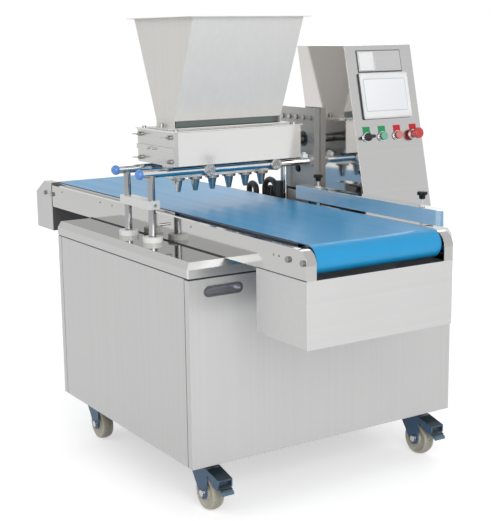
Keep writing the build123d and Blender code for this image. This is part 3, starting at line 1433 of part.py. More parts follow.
with BuildPart() as junction_box:
    block(junction_x, junction_y, (cover_top_z, junction_top_z))
    fillet(junction_box.edges().filter_by(Axis.Z), radius=junction_corner_radius)
    chamfer(junction_box.faces().sort_by(Axis.Z)[-1].edges(), length=edge_chamfer)

with BuildPart() as conduit_bends:
    for conduit_place in conduit_places:
        add(conduit_bend(*conduit_place))
    add(junction_box.part)
save(conduit_bends.part, "conduit_bends")
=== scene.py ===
import math

import bmesh
import bpy
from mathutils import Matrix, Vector


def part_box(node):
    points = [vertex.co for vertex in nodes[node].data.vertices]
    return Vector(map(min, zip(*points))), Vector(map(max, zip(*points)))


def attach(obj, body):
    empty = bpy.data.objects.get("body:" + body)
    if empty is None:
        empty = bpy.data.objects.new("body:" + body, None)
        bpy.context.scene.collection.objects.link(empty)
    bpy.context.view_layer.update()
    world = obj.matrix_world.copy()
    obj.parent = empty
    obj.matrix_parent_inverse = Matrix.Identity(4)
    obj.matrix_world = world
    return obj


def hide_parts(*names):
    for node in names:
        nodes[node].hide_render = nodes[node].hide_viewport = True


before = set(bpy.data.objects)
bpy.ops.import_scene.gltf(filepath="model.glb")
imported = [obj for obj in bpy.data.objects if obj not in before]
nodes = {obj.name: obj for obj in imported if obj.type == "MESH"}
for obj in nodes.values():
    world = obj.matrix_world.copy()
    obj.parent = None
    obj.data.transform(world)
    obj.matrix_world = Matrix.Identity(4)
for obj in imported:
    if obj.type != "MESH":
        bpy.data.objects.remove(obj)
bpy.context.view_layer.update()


# Camera at the photograph's viewing angle, fitted to a frame of 491 by 521 pixels
picture_height = 521
focal_pixels = 1132.33
sensor_size = 36
camera_place = (-1.7385, -2.7603, 1.1981)
camera_turn = (78.7086, 0.7294, -32.5399)
camera_data = bpy.data.cameras.new("camera")
camera_data.sensor_width = sensor_size
camera_data.lens = focal_pixels * sensor_size / picture_height
camera = bpy.data.objects.new("camera", camera_data)
camera.location = camera_place
camera.rotation_euler = [math.radians(angle) for angle in camera_turn]
bpy.context.scene.collection.objects.link(camera)
bpy.context.scene.camera = camera


# Materials
class Shader:
    """The nodes of one material, made and joined by short calls."""

    bevel_samples = 6
    edge_turn = (0.86, 0.99)

    def __init__(self, name):
        self.material = bpy.data.materials.new(name)
        self.material.use_nodes = True
        self.tree = self.material.node_tree
        self.tree.nodes.clear()
        self.output = self.tree.nodes.new("ShaderNodeOutputMaterial")
        self.surface = self.tree.nodes.new("ShaderNodeBsdfPrincipled")
        self.join(self.surface.outputs["BSDF"], self.output.inputs["Surface"])
        self.place = self.tree.nodes.new("ShaderNodeTexCoord").outputs["Object"]

    def join(self, source, target):
        """Link an output to an input, or set a plain value on it."""
        if isinstance(source, bpy.types.NodeSocket):
            self.tree.links.new(source, target)
        else:
            target.default_value = source

    def set(self, **values):
        """Set inputs of the surface; the words of a name are joined by underscores."""
        for name, value in values.items():
            words = name.replace("_", " ").title().replace("Ior", "IOR")
            self.join(value, self.surface.inputs[words])

    def stretch(self, scale):
        """Object coordinates with a scale for each axis."""
        node = self.tree.nodes.new("ShaderNodeMapping")
        node.inputs["Scale"].default_value = scale
        self.join(self.place, node.inputs["Vector"])
        return node.outputs["Vector"]

    def noise(self, place, scale, detail=3.0, roughness=0.5):
        """A cloudy value, mostly between 0.3 and 0.7."""
        node = self.tree.nodes.new("ShaderNodeTexNoise")
        node.inputs["Scale"].default_value = scale
        node.inputs["Detail"].default_value = detail
        node.inputs["Roughness"].default_value = roughness
        self.join(place, node.inputs["Vector"])
        return node.outputs["Fac"]

    def spread(self, value, low, high, start=0.3, stop=0.7):
        """Map a value from start..stop to low..high."""
        node = self.tree.nodes.new("ShaderNodeMapRange")
        node.inputs["From Min"].default_value = start
        node.inputs["From Max"].default_value = stop
        self.join(low, node.inputs["To Min"])
        self.join(high, node.inputs["To Max"])
        self.join(value, node.inputs["Value"])
        return node.outputs["Result"]

    def math(self, kind, one, two=0.0):
        """The result of a sum, product or other operation on one or two values."""
        node = self.tree.nodes.new("ShaderNodeMath")
        node.operation = kind
        self.join(one, node.inputs[0])
        self.join(two, node.inputs[1])
        return node.outputs["Value"]

    def mean(self, one, two, share=0.5):
        """Two values added, the first with the given share."""
        first = self.math("MULTIPLY", one, share)
        second = self.math("MULTIPLY", two, 1 - share)
        return self.math("ADD", first, second)

    def blend(self, share, one, two):
        """Colour one where share is 0, colour two where it is 1."""
        node = self.tree.nodes.new("ShaderNodeMix")
        node.data_type = "RGBA"
        sockets = [socket for socket in node.inputs if socket.type == "RGBA"]
        self.join(share, node.inputs["Factor"])
        self.join(one, sockets[0])
        self.join(two, sockets[1])
        return [socket for socket in node.outputs if socket.type == "RGBA"][0]

    def along(self, direction):
        """Distance of a point from the origin along a direction."""
        node = self.tree.nodes.new("ShaderNodeVectorMath")
        node.operation = "DOT_PRODUCT"
        node.inputs[1].default_value = direction
        self.join(self.place, node.inputs[0])
        return node.outputs["Value"]

    def from_axis(self, one, two, center):
        """Distance from an axis, given two coordinates and the axis's place in them."""
        first = self.math("POWER", self.math("SUBTRACT", one, center[0]), 2.0)
        second = self.math("POWER", self.math("SUBTRACT", two, center[1]), 2.0)
        return self.math("SQRT", self.math("ADD", first, second))

    def rounded(self, radius):
        """Normals that round every edge."""
        node = self.tree.nodes.new("ShaderNodeBevel")
        node.samples = self.bevel_samples
        node.inputs["Radius"].default_value = radius
        return node.outputs["Normal"]

    def edges(self, rounded):
        """1 on edges, where the rounded normal turns away from the flat one."""
        flat = self.tree.nodes.new("ShaderNodeNewGeometry").outputs["Normal"]
        node = self.tree.nodes.new("ShaderNodeVectorMath")
        node.operation = "DOT_PRODUCT"
        self.join(rounded, node.inputs[0])
        self.join(flat, node.inputs[1])
        return self.spread(node.outputs["Value"], 1.0, 0.0, *self.edge_turn)

    def bump(self, height, strength, distance, normal=None):
        """Normals that follow a height, on top of the given ones."""
        node = self.tree.nodes.new("ShaderNodeBump")
        node.inputs["Strength"].default_value = strength
        node.inputs["Distance"].default_value = distance
        self.join(height, node.inputs["Height"])
        if normal is not None:
            self.join(normal, node.inputs["Normal"])
        return node.outputs["Normal"]


def rgba(colour):
    """A colour with full alpha."""
    return (*colour, 1.0)


def shade(colour, factor):
    """A colour made darker or lighter by a factor."""
    return rgba([min(1.0, part * factor) for part in colour])


# Scales of the grain, blurs and widths in metres, colours and directions that the materials use
fine_grain = {"x": (5, 900, 900), "y": (900, 5, 900), "z": (900, 900, 5)}
wide_grain = {"x": (0.6, 90, 90), "y": (90, 0.6, 90), "z": (90, 90, 0.6)}
track_grain = (30, 0.7, 30)
axle_blur = 0.0008
belt_shade_band = 0.001
border_blur = 0.0006
# The next two colours are the ends of a painted light gradient on the display.
display_painted_bright = (0.94, 0.95, 0.965)
display_painted_dim = (0.86, 0.885, 0.92)
display_border = (0.60, 0.62, 0.65)
axis_x = (1, 0, 0)
axis_y = (0, 1, 0)
axis_z = (0, 0, 1)
toward_left = (-1, 0, 0)
toward_front = (0, -1, 0)
toward_floor = (0, 0, -1)


def past(direction, place, width, colour, rough=None, inset=0.0):
    """A zone of a look: from an inset before a place along a direction, the colour changes over a width.

    Steel takes a range of roughness for its zones as well.
    """
    start = place - inset
    zone = (direction, start, start + width, colour)
    if rough is None:
        return zone
    return (*zone, rough)


def steel(name, colour, grain, rough, wear=1.25, radius=0.001, haze=0.02, metal=1.0, zones=()):
    """Stainless sheet: brushing along one axis, wide streaks, cloudy haze and bright worn edges.

    Each zone changes colour and roughness past a place.
    """
    shader = Shader(name)
    fine = shader.noise(shader.stretch(fine_grain[grain]), scale=1.0, detail=2.0)
    wide = shader.noise(shader.stretch(wide_grain[grain]), scale=1.0, detail=3.0)
    cloud = shader.noise(shader.place, scale=5.0, detail=4.0, roughness=0.6)
    rounded = shader.rounded(radius)
    worn = shader.math("MULTIPLY", shader.edges(rounded), shader.spread(cloud, 0.3, 1.0))
    tint = shader.spread(shader.mean(wide, cloud, share=0.6), 0, 1)
    body = shader.blend(tint, shade(colour, 1 - haze), shade(colour, 1 + haze))
    low, high = rough
    for direction, start, stop, zone_colour, zone_rough in zones:
        share = shader.spread(shader.along(direction), 0.0, 1.0, start, stop)
        zone_body = shader.blend(tint, shade(zone_colour, 1 - haze), shade(zone_colour, 1 + haze))
        body = shader.blend(share, body, zone_body)
        low = shader.spread(share, low, zone_rough[0], start=0.0, stop=1.0)
        high = shader.spread(share, high, zone_rough[1], start=0.0, stop=1.0)
    grainy = shader.spread(shader.mean(fine, cloud), low, high)
    shader.set(base_color=shader.blend(worn, body, shade(colour, wear)), metallic=metal, roughness=grainy)
    shader.set(normal=shader.bump(fine, strength=0.06, distance=0.0002, normal=rounded))
    return shader.material


def plated(name, colour, rough, radius=0.0006):
    """Bright plating with faint turning marks and a little dulling."""
    shader = Shader(name)
    cloud = shader.noise(shader.place, scale=30.0, detail=4.0, roughness=0.6)
    marks = shader.noise(shader.place, scale=700.0, detail=2.0)
    rounded = shader.rounded(radius)
    low, high = rough
    body = shader.blend(shader.spread(cloud, 0, 1), shade(colour, 0.94), rgba(colour))
    shader.set(base_color=shader.blend(shader.edges(rounded), body, shade(colour, 1.2)), metallic=1.0)
    shader.set(roughness=shader.spread(cloud, low, high))
    shader.set(normal=shader.bump(marks, strength=0.03, distance=0.0002, normal=rounded))
    return shader.material


def cast(name, dark, light, rough):
    """Rough cast metal: mottled grey with a pitted skin."""
    shader = Shader(name)
    pits = shader.noise(shader.place, scale=260.0, detail=5.0, roughness=0.7)
    mottle = shader.noise(shader.place, scale=120.0, detail=4.0, roughness=0.7)
    rounded = shader.rounded(0.001)
    low, high = rough
    body = shader.blend(shader.spread(mottle, 0, 1, start=0.4, stop=0.62), rgba(dark), rgba(light))
    shader.set(base_color=shader.blend(shader.edges(rounded), body, shade(light, 1.15)), metallic=1.0)
    shader.set(roughness=shader.spread(pits, low, high))
    shader.set(normal=shader.bump(pits, strength=0.5, distance=0.0006, normal=rounded))
    return shader.material


def moulded(name, colour, rough, grain=900.0, relief=0.12, wear=1.35, radius=0.0008, coat=0.0, gloss=0.5,
            zone=None):
    """Moulded plastic or rubber: fine grain, uneven gloss and paler edges; a zone changes the colour."""
    shader = Shader(name)
    fine = shader.noise(shader.place, scale=grain, detail=3.0, roughness=0.6)
    cloud = shader.noise(shader.place, scale=25.0, detail=4.0, roughness=0.6)
    rounded = shader.rounded(radius)
    worn = shader.math("MULTIPLY", shader.edges(rounded), shader.spread(cloud, 0.2, 0.8))
    low, high = rough
    body = shader.blend(shader.spread(cloud, 0, 1), shade(colour, 0.93), shade(colour, 1.05))
    body = shader.blend(worn, body, shade(colour, wear))
    if zone:
        direction, start, stop, zone_colour = zone
        share = shader.spread(shader.along(direction), 0.0, 1.0, start, stop)
        body = shader.blend(share, body, rgba(zone_colour))
    shader.set(base_color=body, roughness=shader.spread(cloud, low, high))
    shader.set(coat_weight=coat, coat_roughness=0.12, specular_ior_level=gloss)
    shader.set(normal=shader.bump(fine, strength=relief, distance=0.0003, normal=rounded))
    return shader.material


def painted(name, colour, rough, chip, metal=0.0, radius=0.0016, axle=None, zone=None):
    """Paint or passivated coating over steel: orange peel, blotches, chipped edges and a bare axle end.

    An axle is (its y and z, its radius, the colour of its bare end). A zone changes the colour past a place.
    """
    shader = Shader(name)
    peel = shader.noise(shader.place, scale=350.0, detail=2.0)
    cloud = shader.noise(shader.place, scale=40.0, detail=5.0, roughness=0.65)
    rounded = shader.rounded(radius)
    patchy = shader.spread(cloud, 0.0, 1.0, start=0.4, stop=0.65)
    worn = shader.math("MULTIPLY", shader.edges(rounded), patchy)
    low, high = rough
    tint = shader.spread(cloud, 0, 1)
    body = shader.blend(tint, shade(colour, 0.8), shade(colour, 1.15))
    if zone:
        direction, start, stop, zone_colour = zone
        share = shader.spread(shader.along(direction), 0.0, 1.0, start, stop)
        zone_body = shader.blend(tint, shade(zone_colour, 0.75), shade(zone_colour, 1.2))
        body = shader.blend(share, body, zone_body)
    body = shader.blend(worn, body, rgba(chip))
    if axle:
        center, radius_inside, bare = axle
        reach = shader.from_axis(shader.along(axis_y), shader.along(axis_z), center)
        inside = shader.spread(reach, 1.0, 0.0, radius_inside, radius_inside + axle_blur)
        shader.set(metallic=shader.spread(inside, metal, 1.0, start=0.0, stop=1.0))
        shader.set(base_color=shader.blend(inside, body, rgba(bare)))
    else:
        shader.set(metallic=metal, base_color=body)
    shader.set(roughness=shader.spread(cloud, low, high))
    shader.set(normal=shader.bump(peel, strength=0.1, distance=0.0004, normal=rounded))
    return shader.material


def belting(name, colour, edge_shade_colour, middle_x, half_width):
    """Blue belting: fine matt grain, faint tracks along its run, and dark edges painted as the shade along
    the belt's sides.
    """
    shader = Shader(name)
    grain = shader.noise(shader.place, scale=1100.0, detail=3.0, roughness=0.6)
    tracks = shader.noise(shader.stretch(track_grain), scale=1.0, detail=4.0, roughness=0.6)
    cloud = shader.noise(shader.place, scale=5.0, detail=4.0, roughness=0.6)
    off_middle = shader.math("ABSOLUTE", shader.math("SUBTRACT", shader.along(axis_x), middle_x))
    edge = shader.spread(off_middle, 0.0, 1.0, half_width - 2 * belt_shade_band, half_width - belt_shade_band)
    tint = shader.spread(shader.mean(tracks, cloud, share=0.4), 0, 1)
    body = shader.blend(tint, shade(colour, 0.95), shade(colour, 1.05))
    shader.set(base_color=shader.blend(edge, body, rgba(edge_shade_colour)))
    shader.set(roughness=shader.spread(tracks, 0.32, 0.40), specular_ior_level=0.46)
    shader.set(normal=shader.bump(grain, strength=0.06, distance=0.0002))
    return shader.material


def wheel(name, colour, dirt):
    """Cream nylon wheel with a grubby tread, which lies 0.5 from the middle of the wheel's own box."""
    shader = Shader(name)
    inside = shader.tree.nodes.new("ShaderNodeTexCoord").outputs["Generated"]
    split = shader.tree.nodes.new("ShaderNodeSeparateXYZ")
    shader.join(inside, split.inputs["Vector"])
    reach = shader.from_axis(split.outputs["Y"], split.outputs["Z"], center=(0.5, 0.5))
    speck = shader.noise(shader.place, scale=220.0, detail=5.0, roughness=0.7)
    cloud = shader.noise(shader.place, scale=45.0, detail=4.0, roughness=0.6)
    near_tread = shader.spread(reach, 0.0, 1.0, start=0.44, stop=0.5)
    tread = shader.math("MULTIPLY", near_tread, shader.spread(speck, 0.2, 0.9))
    rounded = shader.rounded(0.0012)
    body = shader.blend(shader.spread(cloud, 0, 1), shade(colour, 0.9), shade(colour, 1.06))
    shader.set(base_color=shader.blend(tread, body, rgba(dirt)))
    shader.set(roughness=shader.spread(cloud, 0.38, 0.55))
    shader.set(normal=shader.bump(speck, strength=0.1, distance=0.0003, normal=rounded))
    return shader.material


def display(name, middle, half_width, half_height, rim):
    """Pale unlit screen behind glass: a painted light gradient, brighter toward the upper left, a grey border
    and faint smears.
    """
    shader = Shader(name)
    across = shader.math("SUBTRACT", shader.along(panel_across), middle[0])
    down = shader.math("SUBTRACT", shader.along(panel_down), middle[1])
    side = shader.math("SUBTRACT", shader.math("ABSOLUTE", across), half_width - rim)
    end = shader.math("SUBTRACT", shader.math("ABSOLUTE", down), half_height - rim)
    border = shader.spread(shader.math("MAXIMUM", side, end), 0.0, 1.0, start=0.0, stop=border_blur)
    smear = shader.noise(shader.place, scale=60.0, detail=4.0, roughness=0.6)
    slope = shader.spread(shader.math("ADD", across, down), 0.0, 1.0, start=-half_width, stop=half_width)
    body = shader.blend(shader.mean(slope, smear, share=0.85), rgba(display_painted_bright), rgba(display_painted_dim))
    shader.set(base_color=shader.blend(border, body, rgba(display_border)))
    shader.set(roughness=shader.spread(smear, 0.14, 0.22))
    shader.set(normal=shader.bump(smear, strength=0.02, distance=0.0002))
    return shader.material


# The leaning control panel: places on it are given as left, drop from its top edge, and rise off it
lean = math.radians(12.85)
panel_left_x = 0.183
panel_foot = (-0.3635, 0.660)
panel_height = 0.51695
panel_across = axis_x
panel_down = (0, -math.sin(lean), -math.cos(lean))
panel_out = (0, -math.cos(lean), math.sin(lean))


def on_panel(left, drop, rise):
    """The point at a place on the panel."""
    up = panel_height - drop
    y = panel_foot[0] + up * math.sin(lean) - rise * math.cos(lean)
    z = panel_foot[1] + up * math.cos(lean) + rise * math.sin(lean)
    return Vector((panel_left_x + left, y, z))


controls_drop = 0.2545
selector_left = 0.038
start_left = 0.092
stop_left = 0.146
emergency_left = 0.204
button_rise = 0.0113
button_face = on_panel(start_left, controls_drop, button_rise).dot(Vector(panel_out))
screen_left = 0.119
screen_drop = 0.1415
screen_rise = 0.008
display_left = 0.1175
display_drop = 0.140
display_size = (0.148, 0.090)
display_rim = 0.002
screen_face = on_panel(screen_left, screen_drop, screen_rise).dot(Vector(panel_out))
display_middle = on_panel(display_left, display_drop, screen_rise)
display_place = (display_middle.dot(Vector(panel_across)), display_middle.dot(Vector(panel_down)))

# Places taken from the boxes of the CAD nodes, after a few sizes that the boxes don't tell
cover_bevel = 0.008
lid_plate = 0.004
nozzle_collar = 0.0225
knob_head = 0.018
belt_low, belt_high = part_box("conveyor_belt")
belt_middle_x = (belt_low.x + belt_high.x) / 2
belt_half_width = (belt_high.x - belt_low.x) / 2
cover_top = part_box("top_cover")[1].z
cover_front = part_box("top_cover")[0].y + cover_bevel
lid_plate_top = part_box("feed_box")[1].z + lid_plate
handle_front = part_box("front_handle")[0].y
housing_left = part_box("housing_shell")[0].x
tail_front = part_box("rear_end_cover")[0].y
plate_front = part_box("carriage_plate")[0].y
box_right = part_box("feed_box")[1].x
nozzle_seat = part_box("nozzles")[1].z - nozzle_collar
knob_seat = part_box("star_knob_front")[1].z - knob_head

# Caster places: axles as (y, z), and the sloping face of the front hoods by its direction and distance
axle_front = (-0.392, 0.047)
axle_rear = (0.248, 0.047)
axle_radius = 0.009
pedal_edge_z = 0.075
hood_out = (0, -0.2425, 0.9701)
hood_face = 0.2131

# Colours that more than one look has
sheet_grey = (0.55, 0.55, 0.547)
machined_grey = (0.50, 0.50, 0.49)
fork_blue = (0.024, 0.086, 0.175)
fork_chip = (0.42, 0.47, 0.52)
# The next colour is painted shade, on the tops of the brake pedals and the front caster hoods under the
# cabinet.
pedal_shade_colour = (0.028, 0.046, 0.060)
axle_bare = (0.55, 0.55, 0.56)

# Zones of the looks
# Painted shade: the front wall of the rear end cover, under the rails, is painted dark as the shade that
# falls there.
tail_wall_shade = past(toward_front, -tail_front, inset=0.0008, width=0.0004, colour=(0.13, 0.126, 0.12),
                 rough=(0.4, 0.5))
# Painted light: the front bevel of the top cover is painted lighter than the rest of the cover, as if lit
# from the front.
cover_front_painted_light = past(toward_front, -cover_front, width=0.0005, colour=(0.68, 0.68, 0.675), rough=(0.28, 0.38))
cover_deck = past(axis_z, cover_top, inset=0.0008, width=0.0006, colour=(0.51, 0.506, 0.497),
                  rough=(0.03, 0.07))
housing_walls = past(axis_x, housing_left, inset=-0.0005, width=0.0005, colour=(0.52, 0.52, 0.515),
                     rough=(0.3, 0.42))
# Painted shade: the band of the feed lid above its plate, under the hopper's lower edge, is painted dark
# greenish as the shade of that recess.
lid_neck_shade = past(axis_z, lid_plate_top, width=0.001, colour=(0.13, 0.155, 0.15), rough=(0.06, 0.12))
# Painted shade: the front edge of the carriage plate is painted dark as a shadowed strip.
plate_edge_shade = past(toward_front, -plate_front, inset=0.001, width=0.0005, colour=(0.25, 0.246, 0.238),
                  rough=(0.4, 0.5))
# Painted shade: the front feed roller's shaft past the feed box, where it runs into the end plate's hole, is
# painted dark as the shade in that hole.
drive_end_shade = past(axis_x, box_right, width=0.001, colour=(0.17, 0.17, 0.165), rough=(0.2, 0.3))
nozzle_ring = past(axis_z, nozzle_seat, width=0.0005, colour=(0.27, 0.255, 0.235), rough=(0.18, 0.28))
# Painted light: the inside of the handle's cup is painted lighter than the rest, against the shade of the
# recess.
handle_inside_painted_light = past(axis_y, handle_front, inset=-0.003, width=0.003, colour=(0.46, 0.47, 0.50),
                     rough=(0.2, 0.3))
# Painted shade: the upper part of each brake pedal and the sloping top of each front caster hood are painted
# dark as the shade under the cabinet.
pedal_top_shade = past(axis_z, pedal_edge_z, width=0.002, colour=pedal_shade_colour)
hood_top_shade = past(hood_out, hood_face, inset=0.0012, width=0.0006, colour=pedal_shade_colour)
knob_stud = past(toward_floor, -knob_seat, width=0.0004, colour=(0.62, 0.62, 0.61))
# Past this place the touch screen's front face has its own light grey.
screen_front = past(panel_out, screen_face, inset=0.0025, width=0.001, colour=(0.78, 0.785, 0.79))
# Painted highlight: the faces of the start and stop buttons are painted a paler copy of their colour, as if
# catching the light, while their sides keep the deeper colour.
start_face_highlight = past(panel_out, button_face, inset=0.0006, width=0.0004, colour=(0.16, 0.46, 0.32))
stop_face_highlight = past(panel_out, button_face, inset=0.0006, width=0.0004, colour=(0.62, 0.20, 0.19))

# Looks: name, colour, direction of the grain for steel, and range of roughness
looks = {
    "satin": steel("satin_sheet", sheet_grey, "z", (0.32, 0.44), metal=0.5, haze=0.03),
    "tail": steel("tail_sheet", sheet_grey, "z", (0.32, 0.44), metal=0.5, haze=0.03, zones=[tail_wall_shade]),
    "apron": steel("apron_sheet", (0.58, 0.58, 0.577), "x", (0.30, 0.42), metal=0.5, haze=0.03),
    "hopper": steel("hopper_sheet", (0.75, 0.733, 0.705), "z", (0.50, 0.60), metal=0.1, haze=0.03),
    "rail": steel("rail_sheet", (0.46, 0.457, 0.45), "y", (0.05, 0.10), haze=0.01),
    "cover": steel("cover_sheet", (0.48, 0.48, 0.476), "y", (0.28, 0.38), zones=[cover_front_painted_light, cover_deck]),
    "guide": steel("guide_sheet", (0.88, 0.88, 0.88), "y", (0.04, 0.09), haze=0.01),
    "housing": steel("housing_sheet", (0.64, 0.62, 0.60), "z", (0.04, 0.08), haze=0.01,
                     zones=[housing_walls]),
    "panel": steel("panel_sheet", (0.52, 0.52, 0.517), "x", (0.12, 0.20)),
    "box": steel("box_sheet", (0.70, 0.70, 0.695), "x", (0.10, 0.16), haze=0.01),
    "lid": steel("lid_sheet", (0.66, 0.66, 0.655), "x", (0.10, 0.16), haze=0.01, zones=[lid_neck_shade]),
    "end": steel("end_sheet", (0.52, 0.52, 0.51), "y", (0.22, 0.32)),
    "bed": steel("bed_sheet", (0.45, 0.45, 0.45), "y", (0.25, 0.4)),
    "dark": steel("dark_plate", (0.48, 0.473, 0.46), "z", (0.36, 0.48), metal=0.4, zones=[plate_edge_shade]),
    "machined": steel("machined_steel", machined_grey, "x", (0.14, 0.26), radius=0.0006),
    "drive": steel("drive_steel", machined_grey, "x", (0.14, 0.26), radius=0.0006, zones=[drive_end_shade]),
    "tie": steel("tie_steel", (0.70, 0.70, 0.69), "y", (0.30, 0.42), metal=0.3, radius=0.0006),
    "nozzle": steel("nozzle_steel", (0.48, 0.48, 0.48), "z", (0.08, 0.16), radius=0.0005,
                    zones=[nozzle_ring]),
    "roller": steel("roller_steel", (0.5, 0.5, 0.5), "x", (0.2, 0.32)),
    # Painted shade: the handle's dark colour round its rim stands in for a shadow line.
    "handle": steel("handle_steel", (0.19, 0.195, 0.21), "x", (0.12, 0.22), metal=0.6, radius=0.0008,
                    wear=1.6, zones=[handle_inside_painted_light]),
    "chrome": plated("chrome_bar", (0.70, 0.71, 0.72), (0.03, 0.08)),
    "rod": plated("rod_steel", (0.33, 0.335, 0.345), (0.04, 0.10)),
    "zinc": plated("zinc_fastener", (0.42, 0.42, 0.41), (0.16, 0.3)),
    "bolt": plated("steel_bolt", (0.27, 0.27, 0.27), (0.2, 0.35)),
    "runner": plated("runner_steel", (0.28, 0.28, 0.28), (0.2, 0.35)),
    "cast": cast("cast_clamp", (0.22, 0.22, 0.21), (0.62, 0.62, 0.60), (0.25, 0.45)),
    "iron": painted("bearing_iron", (0.10, 0.10, 0.105), (0.45, 0.6), (0.35, 0.35, 0.36), metal=0.4),
    "motor": painted("motor_paint", (0.055, 0.057, 0.06), (0.35, 0.5), (0.3, 0.3, 0.3)),
    # Partly painted shade: the frame's own dark paint is made darker still, so that the seams between the
    # panels read as shadow.
    "frame": painted("frame_paint_and_seam_shade", (0.022, 0.023, 0.025), (0.5, 0.65), (0.2, 0.2, 0.2)),
    "pedal": painted("pedal_blue", (0.085, 0.160, 0.225), (0.28, 0.42), fork_chip, metal=0.2, zone=pedal_top_shade),
    "fork_front": painted("fork_blue_front", fork_blue, (0.28, 0.42), fork_chip, metal=0.2,
                          axle=(axle_front, axle_radius, axle_bare), zone=hood_top_shade),
    "fork_rear": painted("fork_blue_rear", fork_blue, (0.28, 0.42), fork_chip, metal=0.2,
                         axle=(axle_rear, axle_radius, axle_bare)),
    # The second colour is painted shade along the belt's edges.
    "belt": belting("blue_belting", (0.012, 0.30, 0.61), (0.006, 0.045, 0.14), belt_middle_x,
                    belt_half_width),
    "cap": moulded("cap_plastic", (0.09, 0.27, 0.68), (0.2, 0.32), relief=0.05, coat=0.4),
    "white": moulded("white_plastic", (0.84, 0.84, 0.82), (0.35, 0.5), relief=0.06, wear=1.1),
    "black": moulded("black_plastic", (0.012, 0.012, 0.013), (0.35, 0.5), relief=0.15, wear=2.5),
    "knob": moulded("knob_plastic", (0.007, 0.007, 0.008), (0.35, 0.5), relief=0.15, wear=2.5, gloss=0.2,
                    zone=knob_stud),
    "conduit": moulded("conduit_sheath", (0.010, 0.010, 0.011), (0.3, 0.45), relief=0.2, wear=2.0),
    # Painted shade: this black look is for the strips that stand in for shadow gaps at the rails and the
    # tail.
    "shade_strip": moulded("painted_shade_strip", (0.010, 0.010, 0.010), (0.5, 0.65), relief=0.2, wear=1.5),
    # Painted shade: the touch screen's sides are painted dark as the shade beside its raised body.
    "screen": moulded("screen_plastic_side_shade", (0.10, 0.10, 0.105), (0.35, 0.48), relief=0.06, wear=1.1,
                      zone=screen_front),
    "bezel": moulded("bezel_plastic", (0.89, 0.893, 0.895), (0.3, 0.42), relief=0.05, wear=1.05),
    # Painted shadow: this dark look is for the backing that stands in for the name plate's shadow.
    "backing": moulded("backing_painted_shadow", (0.10, 0.10, 0.105), (0.4, 0.5), relief=0.06, wear=1.1),
    "display": display("display_glass", display_place, display_size[0] / 2, display_size[1] / 2, display_rim),
    "plate": steel("plate_silver", (0.56, 0.56, 0.565), "x", (0.22, 0.32), radius=0.0004),
    "green": moulded("green_plastic", (0.006, 0.13, 0.07), (0.18, 0.3), relief=0.03, coat=0.5,
                     zone=start_face_highlight),
    "tag_green": moulded("tag_green", (0.005, 0.29, 0.10), (0.35, 0.5), relief=0.05),
    "red": moulded("red_plastic", (0.56, 0.030, 0.028), (0.18, 0.3), relief=0.03, coat=0.5),
    "stop": moulded("stop_plastic", (0.40, 0.02, 0.02), (0.18, 0.3), relief=0.03, coat=0.5, zone=stop_face_highlight),
    "tag_red": moulded("tag_red", (0.58, 0.006, 0.016), (0.35, 0.5), relief=0.05),
    "cream": wheel("cream_nylon", (0.54, 0.52, 0.43), (0.20, 0.19, 0.14)),
}

# CAD nodes that have each look
finish_of = {
    "satin": ["left_panel", "right_panel", "rear_panel", "front_panel"],
    "tail": ["rear_end_cover"],
    "hopper": ["hopper"],
    "apron": ["front_apron"],
    "rail": ["left_rail", "right_rail"],
    "cover": ["top_cover"],
    "guide": ["side_guide"],
    "housing": ["housing_shell"],
    "panel": ["control_panel"],
    "box": ["feed_box"],
    "lid": ["feed_lid"],
    "end": ["end_plate"],
    "bed": ["slider_bed"],
    "dark": ["carriage_plate"],
    "machined": ["nozzle_plate", "feed_roller_rear"],
    "drive": ["feed_roller_front"],
    "tie": ["tie_bar"],
    "nozzle": ["nozzles"],
    "cast": ["bar_clamps"],
    "roller": ["drive_roller", "tail_roller"],
    "chrome": ["lift_bars", "actuator_rod"],
    "rod": ["lift_rods"],
    "runner": ["guide_rails"],
    "zinc": ["head_fasteners", "hopper_screws", "caster_plates"],
    "bolt": ["rail_bolts"],
    "handle": ["front_handle"],
    "iron": ["roller_bearings"],
    "motor": ["feed_motor", "lift_actuator"],
    "frame": ["base_frame"],
    "belt": ["conveyor_belt"],
    "cap": ["bar_end_caps"],
    "white": ["rod_bushes"],
    "black": ["mode_selector"],
    "knob": ["star_knob_front", "star_knob_rear"],
    "screen": ["touch_screen"],
    "green": ["start_button"],
    "red": ["emergency_stop"],
    "stop": ["stop_button"],
    "conduit": ["conduit_bends"],
    "pedal": ["brake_pedal_left", "brake_pedal_right"],
    "fork_front": ["caster_fork_front_left", "caster_fork_front_right"],
    "fork_rear": ["caster_fork_rear_left", "caster_fork_rear_right"],
    "cream": ["caster_wheel_front_left", "caster_wheel_front_right", "caster_wheel_rear_left",
              "caster_wheel_rear_right"],
}


def dress(piece, material):
    """Give a piece one material on all its faces."""
    if not piece.material_slots:
        piece.data.materials.append(material)
    for place in piece.material_slots:
        place.material = material


for look, names in finish_of.items():
    for name in names:
        dress(nodes[name], looks[look])


# Small pieces that the solids leave out, and the star knobs
smooth_angle = math.radians(35)


def add_piece(name, shape, look, body):
    """Turn a bmesh into a piece that rides on a body."""
    bmesh.ops.recalc_face_normals(shape, faces=shape.faces)
    mesh = bpy.data.meshes.new(name)
    shape.to_mesh(mesh)
    shape.free()
    for face in mesh.polygons:
        face.use_smooth = True
    mesh.set_sharp_from_angle(angle=smooth_angle)
    piece = bpy.data.objects.new(name, mesh)
    bpy.context.scene.collection.objects.link(piece)
    dress(piece, looks[look])
    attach(piece, body)
    return piece


